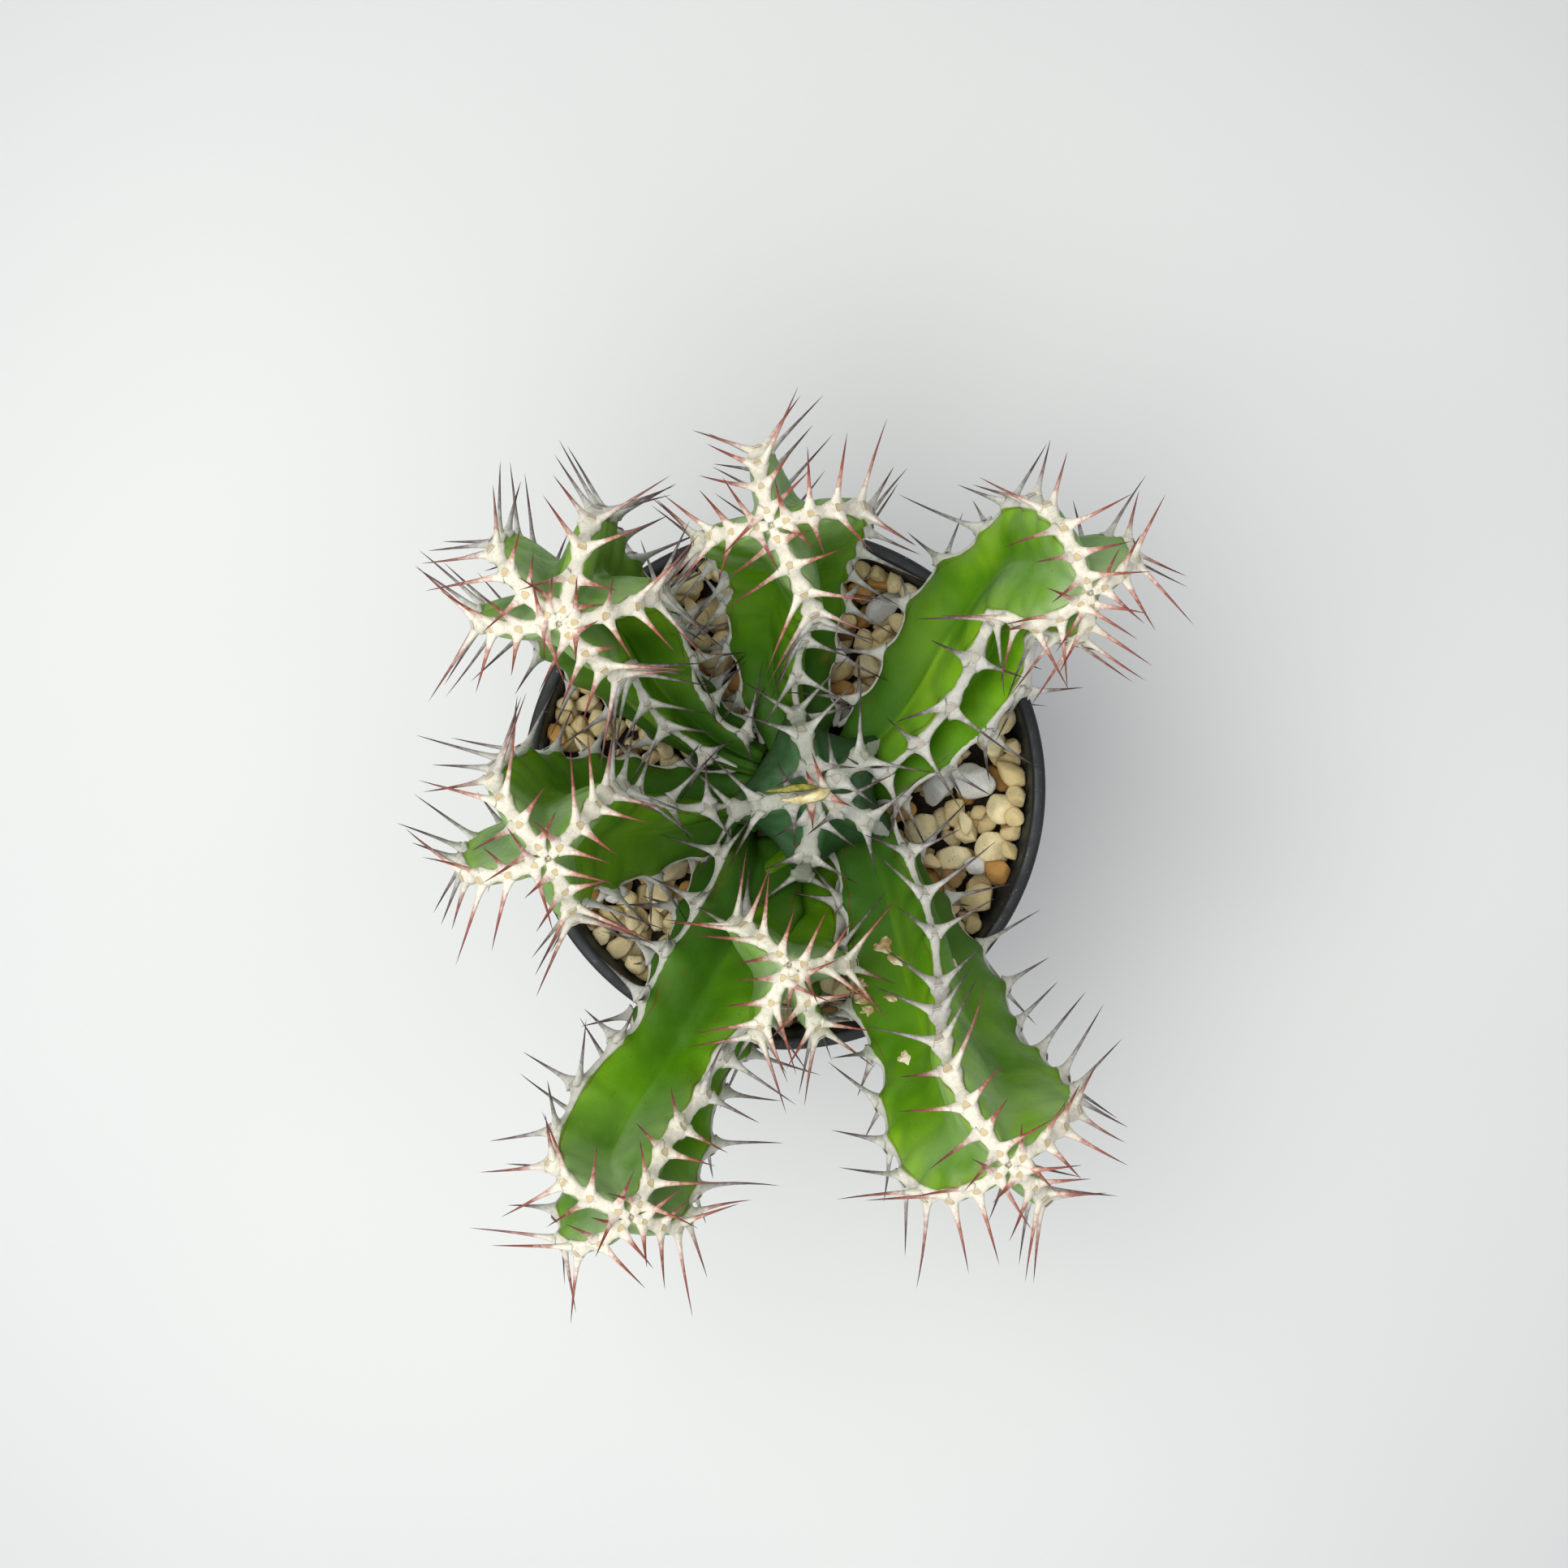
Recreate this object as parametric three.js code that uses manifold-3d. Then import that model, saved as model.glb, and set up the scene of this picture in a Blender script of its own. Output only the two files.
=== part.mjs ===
// Potted spiny succulent: a short ribbed trunk with seven upcurved ribbed arms in a round black pot.
// Every rib carries a pale horny margin with paired spines; pumice grit covers the potting mix.
// Millimetres, +Z up, origin at the centre of the pot's flat underside, +Y towards the north arm.
import * as THREE from 'three';
import { mergeVertices } from 'three/addons/utils/BufferGeometryUtils.js';
import Module from 'manifold-3d';

const wasm = await Module();
wasm.setup();

// Pot
const POT_HEIGHT = 78;
const RIM_RADIUS = 45;
const RIM_DEPTH = 6;
const NECK_RADIUS = 42.6;
const FOOT_RADIUS = 32;
const WALL = 1.3;
const FLOOR = 2;
const POT_SIDES = 40;
const DRAIN_COUNT = 8;
const DRAIN_RADIUS = 3;
const DRAIN_RING = 23;

// Filling
const SEAT = 0.3;
const MIX_TOP = 64;
const BED_TOP = 69.4;
const STONE_COUNT = 108;
const STONE_TOP = 73.2;
const HOLE_RADIUS = 12.4;
const TRUNK_FOOT = 54;

// Ribs, margins and spines
const RIB_SCALE = 0.915;
const VALLEY = 0.42;
const TRUNK_VALLEY = 0.74;
const FLANK = 0.3;
const FLANK_POWER = 2.2;
const STATIONS = 15;
const WAIST_SPREAD = 0.085;
const ARM_FLOOR = 73.6;
const MARGIN_GAP = 0.45;
const TOOTH_PITCH = 9.6;
const PITCH_STEP = 1.2;
const SPINE_MIN = 8;
const SPINE_MAX = 13;
const SPINE_SPREAD = 46;

// Stems: axis control points measured from the rim plane, azimuth and rib angles in degrees counted
// from the side that faces the trunk, rib radius at root, middle and shoulder, share of length at
// which the dome starts, twist of the ribs from root to tip, and the waist between two seasons'
// growth: its place as a share of length and its depth as a share of radius. The trunk's valleys
// are shallower than the arms'.
const STEMS = {
  trunk: {
    axis: [[4, -1, TRUNK_FOOT - POT_HEIGHT], [4.5, -1, -8], [5, -0.8, 8], [5.5, -0.8, 21]],
    azimuth: 0, ribs: [77, 142, 209, 278, 348], radii: [9.3, 12.6, 16], dome: 0.66, twist: 0,
    waist: [0.4, 0.06], valley: TRUNK_VALLEY,
  },
  arm_south: {
    axis: [[4, -10, 0], [1, -26.4, 0.5], [-1.9, -34.1, 12.1], [0.8, -28.3, 38]],
    azimuth: 265, ribs: [69, 135, 188, 301], radii: [7.8, 11.3, 12.8], dome: 0.7, twist: 12,
    waist: [0.45, 0.08],
  },
  arm_north: {
    axis: [[4, 6, 2], [-4.9, 24.1, -2], [4.9, 42.2, 15.8], [-1.9, 40.3, 60.8]],
    azimuth: 92, ribs: [-9, 96, 177, 267], radii: [7.6, 12.4, 15.1], dome: 0.78, twist: -12,
    waist: [0.45, 0.12],
  },
  arm_northeast: {
    axis: [[10, 3, 2], [32.6, 10.4, 16.6], [36.4, 50.5, 13.6], [47.7, 30.5, 52]],
    azimuth: 40, ribs: [-22, 96, 189, 289], radii: [8.9, 14.7, 12.3], dome: 0.86, twist: 13,
    waist: [0.6, 0.2],
  },
  arm_northwest: {
    axis: [[-4, 4, 2], [-28.8, 13.4, -0.4], [-34.2, 42.7, 20.7], [-33.8, 24.8, 70]],
    azimuth: 142, ribs: [23, 139, 190, 258, 324], radii: [6, 15.5, 15.4], dome: 0.84, twist: -10,
    waist: [0.5, 0.14],
  },
  arm_west: {
    axis: [[-4, -2, 2], [-27.5, -7.9, 0.6], [-44.8, -2.7, 18.5], [-35.8, -10.6, 65.2]],
    azimuth: 188, ribs: [0, 106, 197, 272], radii: [7, 15.2, 14.5], dome: 0.78, twist: -36,
    waist: [0.42, 0.12],
  },
  arm_southwest: {
    axis: [[-6, -10, -2], [-3.3, -29.2, 14.7], [-35.9, -66.4, 15.6], [-24.1, -67.5, 46.3]],
    azimuth: 252, ribs: [72, 147, 262, 331], radii: [11, 14, 14.2], dome: 0.78, twist: -55,
    waist: [0.5, 0.2],
  },
  arm_southeast: {
    axis: [[14, -6, 2], [25.8, -34.1, 14.2], [27.7, -48.4, 24.1], [34, -56.9, 66.2]],
    azimuth: 300, ribs: [38, 142, 210, 299], radii: [8.9, 15.9, 17], dome: 0.72, twist: -46,
    waist: [0.5, 0.17],
  },
};

// Colours
const FLESH = new THREE.Color(0x5a8f35);
const TRUNK_FLESH = new THREE.Color(0x47764d);
const HORN = new THREE.Color(0xdedbd0);
const POT_BLACK = new THREE.Color(0x272b30);
const MIX_BROWN = new THREE.Color(0x3b2d22);
const PUMICE = new THREE.Color(0xcdb78f);

const group = new THREE.Group();

function seeded(seed) {
  let state = seed >>> 0;
  return () => {
    state = (state + 0x6d2b79f5) >>> 0;
    let t = state;
    t = Math.imul(t ^ (t >>> 15), t | 1);
    t ^= t + Math.imul(t ^ (t >>> 7), t | 61);
    return ((t ^ (t >>> 14)) >>> 0) / 4294967296;
  };
}

function smooth(x) {
  const k = Math.min(1, Math.max(0, x));
  return k * k * (3 - 2 * k);
}

function geometryFrom(points, triangles) {
  const geometry = new THREE.BufferGeometry();
  geometry.setAttribute('position', new THREE.Float32BufferAttribute(points.flat(), 3));
  geometry.setIndex(triangles.flat());
  return geometry;
}

function solidFrom(geometry) {
  const plain = new THREE.BufferGeometry();
  plain.setAttribute('position', geometry.getAttribute('position').clone());
  if (geometry.index) {
    plain.setIndex(geometry.index.clone());
  }
  const welded = mergeVertices(plain, 1e-4);
  const mesh = new wasm.Mesh({
    numProp: 3,
    vertProperties: new Float32Array(welded.getAttribute('position').array),
    triVerts: new Uint32Array(welded.index.array),
  });
  return new wasm.Manifold(mesh);
}

function add(name, solid, color, roughness) {
  const mesh = solid.getMesh();
  const geometry = new THREE.BufferGeometry();
  geometry.setAttribute('position', new THREE.Float32BufferAttribute(mesh.vertProperties, 3));
  geometry.setIndex(new THREE.Uint32BufferAttribute(mesh.triVerts, 1));
  const flat = geometry.toNonIndexed();
  flat.computeVertexNormals();
  const material = new THREE.MeshStandardMaterial({ color, roughness, metalness: 0 });
  const node = new THREE.Mesh(flat, material);
  node.name = name;
  group.add(node);
}

function largest(solid) {
  const parts = solid.decompose();
  return parts.reduce((best, part) => (part.volume() > best.volume() ? part : best), parts[0]);
}

// Turned and upright round solids
function lathe(profile, sides) {
  const outline = profile.map(([radius, height]) => new THREE.Vector2(radius, height));
  const turned = new THREE.LatheGeometry(outline, sides);
  turned.rotateX(Math.PI / 2);
  return solidFrom(turned);
}

function pillar(radius, low, high, sides, x, y) {
  const column = new THREE.CylinderGeometry(radius, radius, high - low, sides);
  column.rotateX(Math.PI / 2);
  column.translate(x, y, (low + high) / 2);
  return solidFrom(column);
}

function outerRadius(z) {
  const rise = z / (POT_HEIGHT - RIM_DEPTH);
  return FOOT_RADIUS + (NECK_RADIUS - FOOT_RADIUS) * Math.min(1, rise);
}

function innerRadius(z) {
  return Math.min(outerRadius(z) - WALL, NECK_RADIUS - WALL);
}

// Stem axis, frame and rib section
class Stem {
  constructor(name, spec) {
    this.name = name;
    this.spec = spec;
    this.valley = spec.valley ?? VALLEY;
    this.curve = new THREE.CubicBezierCurve3(
      ...spec.axis.map(([x, y, z]) => new THREE.Vector3(x, y, z + POT_HEIGHT)),
    );
    this.curve.arcLengthDivisions = 120;
    this.length = this.curve.getLength();
    const turn = THREE.MathUtils.degToRad(spec.azimuth);
    this.cross = new THREE.Vector3(-Math.sin(turn), Math.cos(turn), 0);
    this.samples = [];
    for (let i = 0; i <= 60; i += 1) {
      this.samples.push(this.frame(i / 60));
    }
    this.ridges = spec.ribs.map((angle, rib) => this.ridgeCurve(rib));
  }

  frame(u) {
    const origin = this.curve.getPointAt(u);
    const tangent = this.curve.getTangentAt(u);
    const inner = tangent.clone().cross(this.cross).normalize();
    const side = inner.clone().cross(tangent);
    return { u, origin, tangent, inner, side };
  }

  radius(u) {
    const [root, middle, shoulder] = this.spec.radii;
    const body = root + (middle - root) * smooth(u / 0.5) + (shoulder - middle) * smooth((u - 0.5) / 0.3);
    const [place, depth] = this.spec.waist;
    const pinch = 1 - depth * Math.exp(-(((u - place) / WAIST_SPREAD) ** 2));
    const k = Math.min(1, Math.max(0, (u - this.spec.dome) / (1 - this.spec.dome)));
    return body * pinch * RIB_SCALE * Math.sqrt(Math.max(0, 1 - k ** 2.2));
  }

  ribAngle(rib, u) {
    const count = this.spec.ribs.length;
    const wraps = Math.floor(rib / count);
    const angle = this.spec.ribs[rib - wraps * count] + 360 * wraps + this.spec.twist * u;
    return THREE.MathUtils.degToRad(angle);
  }

  place(frame, angle, radius) {
    const out = frame.inner.clone().multiplyScalar(Math.cos(angle));
    out.addScaledVector(frame.side, Math.sin(angle));
    return frame.origin.clone().addScaledVector(out, radius);
  }

  ridgeCurve(rib) {
    const steps = 120;
    const points = [];
    for (let i = 0; i <= steps; i += 1) {
      const u = 1 - (i / steps) * 0.97;
      const frame = this.frame(u);
      points.push({ u, frame, at: this.place(frame, this.ribAngle(rib, u), this.radius(u)) });
    }
    let run = 0;
    points[0].run = 0;
    for (let i = 1; i <= steps; i += 1) {
      run += points[i].at.distanceTo(points[i - 1].at);
      points[i].run = run;
    }
    return points;
  }

  section(u, grow) {
    const frame = this.frame(u);
    const ridge = this.radius(u) + grow;
    const count = this.spec.ribs.length;
    const loop = [];
    for (let rib = 0; rib < count; rib += 1) {
      const here = this.ribAngle(rib, u);
      const half = (this.ribAngle(rib + 1, u) - here) / 2;
      for (const share of [0, FLANK, 1, 2 - FLANK]) {
        const near = share > 1 ? 2 - share : share;
        const wall = ridge * (this.valley + (1 - this.valley) * (1 - near) ** FLANK_POWER);
        loop.push(this.place(frame, here + half * share, wall + (share === 0 ? 0 : grow * 0.6)));
      }
    }
    return loop;
  }

  flesh(grow) {
    const rings = [];
    for (let i = 0; i < STATIONS; i += 1) {
      const u = 0.985 * (1 - (1 - i / (STATIONS - 1)) ** 1.35);
      rings.push(this.section(u, grow));
    }
    const top = this.frame(1);
    const tip = top.origin.clone().addScaledVector(top.tangent, grow);
    return sweep(rings, this.frame(0).origin, tip);
  }

  // Distance by which a point stands outside this stem, taken along the radius
  clearance(point) {
    let best = null;
    let near = Infinity;
    for (const frame of this.samples) {
      const gap = frame.origin.distanceToSquared(point);
      if (gap < near) {
        near = gap;
        best = frame;
      }
    }
    const offset = point.clone().sub(best.origin);
    const along = offset.dot(best.tangent);
    if (best.u === 1 && along > 0) {
      return offset.length();
    }
    offset.addScaledVector(best.tangent, -along);
    const angle = Math.atan2(offset.dot(best.side), offset.dot(best.inner));
    return offset.length() - this.wallAt(best.u, angle);
  }

  wallAt(u, angle) {
    const count = this.spec.ribs.length;
    const turn = 2 * Math.PI;
    for (let rib = 0; rib < count; rib += 1) {
      const here = this.ribAngle(rib, u);
      const span = this.ribAngle(rib + 1, u) - here;
      const ahead = (((angle - here) % turn) + turn) % turn;
      if (ahead <= span) {
        const near = Math.min(ahead, span - ahead) / (span / 2);
        return this.radius(u) * (this.valley + (1 - this.valley) * (1 - near) ** FLANK_POWER);
      }
    }
    return this.radius(u);
  }

  ridgeDistance(point) {
    let near = Infinity;
    for (const ridge of this.ridges) {
      for (let i = 0; i < ridge.length; i += 3) {
        near = Math.min(near, ridge[i].at.distanceTo(point));
      }
    }
    return near;
  }
}

// Closed skin through rings of equal count, fanned to a point at both ends
function sweep(rings, start, end) {
  const count = rings[0].length;
  const points = rings.flat().map((p) => [p.x, p.y, p.z]);
  const triangles = [];
  for (let i = 0; i + 1 < rings.length; i += 1) {
    for (let k = 0; k < count; k += 1) {
      const a = i * count + k;
      const b = i * count + ((k + 1) % count);
      triangles.push([a, b, b + count], [a, b + count, a + count]);
    }
  }
  const first = points.length;
  points.push([start.x, start.y, start.z], [end.x, end.y, end.z]);
  const last = (rings.length - 1) * count;
  for (let k = 0; k < count; k += 1) {
    triangles.push([first, (k + 1) % count, k]);
    triangles.push([first + 1, last + k, last + ((k + 1) % count)]);
  }
  return solidFrom(geometryFrom(points, orient(points, triangles)));
}

function orient(points, triangles) {
  let volume = 0;
  for (const [a, b, c] of triangles) {
    const p = new THREE.Vector3(...points[a]);
    const q = new THREE.Vector3(...points[b]);
    const r = new THREE.Vector3(...points[c]);
    volume += p.dot(q.cross(r));
  }
  return volume < 0 ? triangles.map(([a, b, c]) => [a, c, b]) : triangles;
}

const stems = Object.entries(STEMS).map(([name, spec]) => new Stem(name, spec));

// Point and directions on a ridge at a run measured from the tip
function ridgeFrame(ridge, run) {
  let i = 1;
  while (i < ridge.length - 2 && ridge[i].run < run) {
    i += 1;
  }
  const before = ridge[i - 1];
  const after = ridge[i];
  const share = Math.max(0, (run - before.run) / (after.run - before.run));
  const at = before.at.clone().lerp(after.at, share);
  const along = after.at.clone().sub(before.at).normalize();
  const axis = before.frame.origin.clone().lerp(after.frame.origin, share);
  const out = at.clone().sub(axis);
  if (out.length() < 0.5) {
    out.copy(before.frame.tangent);
  }
  out.addScaledVector(before.frame.tangent, run < 4 ? 2 : 0);
  const across = out.clone().cross(along).normalize();
  const normal = along.clone().cross(across).normalize();
  if (normal.dot(out) < 0) {
    normal.negate();
  }
  return { at, along, across, normal };
}

// A margin runs from the tip down to where the ridge meets another stem or the grit
function marginEnd(stem, ridge) {
  for (let i = 8; i < ridge.length; i += 1) {
    const { at, run } = ridge[i];
    if (at.z < ARM_FLOOR + 1.6) {
      return run - 1;
    }
    for (const other of stems) {
      if (other !== stem && (other.clearance(at) < 2.6 || other.ridgeDistance(at) < 4.2)) {
        return run - 1;
      }
    }
  }
  return ridge[ridge.length - 1].run;
}

const spineLines = [];

function segmentGap(a, b, c, d) {
  let near = Infinity;
  for (let i = 0; i <= 5; i += 1) {
    const p = a.clone().lerp(b, i / 5);
    const line = new THREE.Line3(c, d);
    near = Math.min(near, line.closestPointToPoint(p, true, new THREE.Vector3()).distanceTo(p));
  }
  return near;
}

function spineClear(stem, root, tip) {
  for (let i = 1; i <= 6; i += 1) {
    const p = root.clone().lerp(tip, i / 6);
    const reach = Math.hypot(p.x, p.y);
    const overPot = reach < RIM_RADIUS + 1.2;
    const floor = reach > NECK_RADIUS - WALL - 1 ? POT_HEIGHT + 0.8 : STONE_TOP + 0.8;
    if (overPot && p.z < floor) {
      return false;
    }
    for (const other of stems) {
      const limit = other === stem ? 0.5 : 1.6;
      if ((i > 2 || other !== stem) && other.clearance(p) < limit) {
        return false;
      }
      if ((i > 3 || other !== stem) && other.ridgeDistance(p) < (other === stem ? 2.2 : 3.4)) {
        return false;
      }
    }
  }
  return spineLines.every(({ from, to }) => segmentGap(root, tip, from, to) > 1.3);
}

// Cross-sections along one margin, listed from the tip down
function marginSections(end, random) {
  const sections = [{ run: 0, top: 1.8, half: 1.2, crest: 0.6 }];
  let run = 2.6;
  let pitch = 4;
  while (run < end - 2) {
    const young = smooth((run - 1) / 9);
    const pad = { top: 1.7 + 0.7 * young, half: 1.5 + 0.6 * young, crest: 0.6 + 0.25 * young };
    sections.push({ run: run - 0.8, ...pad });
    sections.push({ run: run + 0.8, ...pad, tooth: true });
    const step = pitch * (0.9 + 0.2 * random());
    if (run + step < end - 2) {
      sections.push({ run: run + step / 2, top: 1.4, half: 1.3, crest: 0.5 });
    }
    run += step;
    pitch = Math.min(TOOTH_PITCH, pitch + PITCH_STEP);
  }
  const last = sections[sections.length - 1].run;
  sections.push({ run: Math.max(end, last + 1), top: 1.2, half: 0.9, crest: 0.4 });
  return sections;
}

// Tip of one spine, or null where nothing of true size has room
function spineTip(stem, spot, flank, root, run, random) {
  const young = smooth(run / 16);
  const length = (SPINE_MIN + (SPINE_MAX - SPINE_MIN) * random()) * (0.55 + 0.45 * young);
  const lean = (random() - 0.5) * 0.5;
  for (const [turn, share] of [[0, 1], [-14, 1], [14, 1], [-24, 0.85], [22, 0.85], [-8, 0.65]]) {
    const angle = THREE.MathUtils.degToRad(SPINE_SPREAD + turn + 8 * (random() - 0.5));
    const out = spot.normal.clone().multiplyScalar(Math.cos(angle));
    out.addScaledVector(spot.across, flank * Math.sin(angle));
    out.addScaledVector(spot.along, -lean);
    out.normalize();
    const tip = root.clone().addScaledVector(out, length * share);
    if (spineClear(stem, root, tip)) {
      spineLines.push({ from: root.clone().addScaledVector(out, 1.5), to: tip });
      return tip;
    }
  }
  return null;
}

// Horny margin of one rib with a pair of spines at every tooth
function margin(stem, ridge, random) {
  const sections = marginSections(marginEnd(stem, ridge), random);
  const spots = sections.map((part) => ridgeFrame(ridge, part.run));
  const points = [];
  sections.forEach((part, i) => {
    const corners = [
      [-part.half, MARGIN_GAP], [-part.crest, part.top], [part.crest, part.top], [part.half, MARGIN_GAP],
    ];
    for (const [across, up] of corners) {
      const p = spots[i].at.clone();
      p.addScaledVector(spots[i].across, across);
      p.addScaledVector(spots[i].normal, up);
      points.push(p.toArray());
    }
  });
  const triangles = [[0, 2, 1], [0, 3, 2]];
  const corner = (index) => new THREE.Vector3(...points[index]);
  for (let i = 1; i < sections.length; i += 1) {
    for (let k = 0; k < 4; k += 1) {
      const a = (i - 1) * 4 + k;
      const b = (i - 1) * 4 + ((k + 1) % 4);
      const halves = [[a, b, a + 4], [b, b + 4, a + 4]];
      halves.forEach((half, side) => {
        const bears = sections[i].tooth && k === 1;
        const root = corner(half[0]).add(corner(half[1])).add(corner(half[2])).divideScalar(3);
        const flank = side === 0 ? -1 : 1;
        const tip = bears ? spineTip(stem, spots[i], flank, root, sections[i].run, random) : null;
        if (tip) {
          const peak = points.push(tip.toArray()) - 1;
          half.forEach((from, q) => triangles.push([from, half[(q + 1) % 3], peak]));
        } else {
          triangles.push(half);
        }
      });
    }
  }
  const base = (sections.length - 1) * 4;
  triangles.push([base, base + 1, base + 2], [base, base + 2, base + 3]);
  return solidFrom(geometryFrom(points, orient(points, triangles)));
}

// All margins of one stem, joined where they meet at the growing tip
function margins(stem, random) {
  const top = stem.frame(1);
  const hub = new THREE.IcosahedronGeometry(1.5, 0);
  const centre = top.origin.clone().addScaledVector(top.tangent, 2);
  hub.translate(centre.x, centre.y, centre.z);
  let joined = solidFrom(hub);
  for (const ridge of stem.ridges) {
    joined = joined.add(margin(stem, ridge, random));
  }
  return largest(joined.subtract(stem.flesh(SEAT / 2)));
}

// Pot: tapered wall, thick turned-over rim, flat floor with a ring of drain holes
function pot() {
  const shoulder = POT_HEIGHT - RIM_DEPTH;
  const profile = [
    [0, 0], [FOOT_RADIUS - 0.8, 0], [FOOT_RADIUS, 0.9], [NECK_RADIUS, shoulder - 0.5],
    [RIM_RADIUS - 0.4, shoulder], [RIM_RADIUS, shoulder + 0.8], [RIM_RADIUS, POT_HEIGHT - 0.7],
    [RIM_RADIUS - 0.6, POT_HEIGHT], [RIM_RADIUS - 1.7, POT_HEIGHT], [RIM_RADIUS - 2.3, POT_HEIGHT - 0.6],
    [NECK_RADIUS - WALL, shoulder - 2], [innerRadius(FLOOR), FLOOR], [0, FLOOR],
  ];
  let body = lathe(profile, POT_SIDES);
  for (let i = 0; i < DRAIN_COUNT; i += 1) {
    const turn = ((i + 0.5) / DRAIN_COUNT) * 2 * Math.PI;
    const [x, y] = [DRAIN_RING * Math.cos(turn), DRAIN_RING * Math.sin(turn)];
    body = body.subtract(pillar(DRAIN_RADIUS, -1, FLOOR + 1, 10, x, y));
  }
  return body;
}

// Potting mix: plug that fills the pot, with a plain blind hole for the trunk's foot
function mix(foot) {
  const low = FLOOR + SEAT;
  const profile = [
    [0, low], [innerRadius(low) - SEAT, low], [innerRadius(MIX_TOP) - SEAT, MIX_TOP], [0, MIX_TOP],
  ];
  const hole = pillar(HOLE_RADIUS, TRUNK_FOOT - SEAT, MIX_TOP + 1, 24, foot.x, foot.y);
  return lathe(profile, POT_SIDES).subtract(hole);
}

// Grit: stones of mixed size sunk into a bed, clear of the arms above them
function grit(foot, random) {
  const edge = innerRadius(MIX_TOP + 2) - SEAT - 0.1;
  const low = MIX_TOP + SEAT;
  let bed = lathe([[0, low], [edge, low], [edge, BED_TOP], [0, BED_TOP]], POT_SIDES);
  const stones = [];
  for (let i = 0; i < STONE_COUNT; i += 1) {
    const reach = Math.sqrt((i + 0.5) / STONE_COUNT) * (edge - 2.4);
    const turn = i * 2.39996 + 0.25 * random();
    const size = 2.4 + 0.7 * random();
    const stone = new THREE.OctahedronGeometry(1, 0);
    stone.scale(size * 1.25, size * (0.8 + 0.3 * random()), size * 0.95);
    stone.rotateX(0.6 * (random() - 0.5));
    stone.rotateY(0.6 * (random() - 0.5));
    stone.rotateZ(Math.PI * random());
    stone.computeBoundingBox();
    const top = Math.min(STONE_TOP, BED_TOP + 1 + 2.6 * random());
    const room = edge - Math.max(stone.boundingBox.max.x, stone.boundingBox.max.y) - 0.1;
    const out = Math.min(reach, room);
    stone.translate(out * Math.cos(turn), out * Math.sin(turn), top - stone.boundingBox.max.z);
    stones.push(solidFrom(stone));
  }
  bed = wasm.Manifold.union([bed, ...stones]);
  const hole = pillar(HOLE_RADIUS, low - 1, POT_HEIGHT, 24, foot.x, foot.y);
  return largest(bed.trimByPlane([0, 0, 1], low).subtract(hole));
}

const random = seeded(7319);
const foot = { x: STEMS.trunk.axis[0][0], y: STEMS.trunk.axis[0][1] };

add('pot', pot(), POT_BLACK, 0.45);
add('potting_mix', mix(foot), MIX_BROWN, 0.95);
add('top_dressing', grit(foot, random), PUMICE, 0.9);

// Each arm is cut back from the stems before it and from the grit, leaving the seating gap
const ground = pillar(90, 0, ARM_FLOOR, 16, 0, 0);
const skins = [];
for (const stem of stems) {
  let flesh = stem.flesh(0);
  if (stem.name !== 'trunk') {
    flesh = skins.reduce((rest, skin) => rest.subtract(skin), flesh).subtract(ground);
    flesh = largest(flesh);
  }
  skins.push(stem.flesh(SEAT));
  add(stem.name, flesh, stem.name === 'trunk' ? TRUNK_FLESH : FLESH, 0.5);
}

for (const stem of stems) {
  add(`${stem.name}_spines`, margins(stem, random), HORN, 0.6);
}

export default group;
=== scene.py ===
"""Looks for the potted spiny succulent: ribbed stems, horny margins with paired spines, grit, pot, light and camera.

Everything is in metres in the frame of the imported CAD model. The stem tables below are in millimetres.
"""

import math

import bmesh
import bpy
import numpy as np
from mathutils.bvhtree import BVHTree
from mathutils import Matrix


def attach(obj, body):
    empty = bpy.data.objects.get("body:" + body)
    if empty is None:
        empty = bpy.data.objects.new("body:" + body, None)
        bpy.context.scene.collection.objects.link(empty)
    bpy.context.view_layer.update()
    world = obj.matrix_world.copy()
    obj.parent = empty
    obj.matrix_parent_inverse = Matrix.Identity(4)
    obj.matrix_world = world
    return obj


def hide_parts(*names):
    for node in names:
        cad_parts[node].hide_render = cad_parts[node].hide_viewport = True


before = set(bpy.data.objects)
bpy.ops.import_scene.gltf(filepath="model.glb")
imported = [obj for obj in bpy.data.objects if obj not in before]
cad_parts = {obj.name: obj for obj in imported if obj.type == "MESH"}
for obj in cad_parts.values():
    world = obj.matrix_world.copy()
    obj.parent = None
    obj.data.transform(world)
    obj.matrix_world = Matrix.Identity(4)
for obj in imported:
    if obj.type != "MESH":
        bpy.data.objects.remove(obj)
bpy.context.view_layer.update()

MM = 0.001

# Pot
POT_HEIGHT = 78.0
RIM_RADIUS = 45.0
RIM_DEPTH = 6.0
NECK_RADIUS = 42.6
FOOT_RADIUS = 32.0
WALL = 1.3
FLOOR = 2.0
POT_SIDES = 180
POT_ROUNDING = 0.9
SHARP_ANGLE = 40
DRAIN_COUNT = 8
DRAIN_RADIUS = 3.0
DRAIN_RING = 23.0
DRAIN_SIDES = 28

# Mix: it leaves a small gap to the wall and has a rough top
MIX_TOP = 66.5
MIX_LOW = 2.4
MIX_SHOULDER = 60
MIX_GAP = 0.3
MIX_REACH = 41.1
MIX_ROUGH = 0.5
MIX_RINGS = 40
MIX_SIDES = 120

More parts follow.
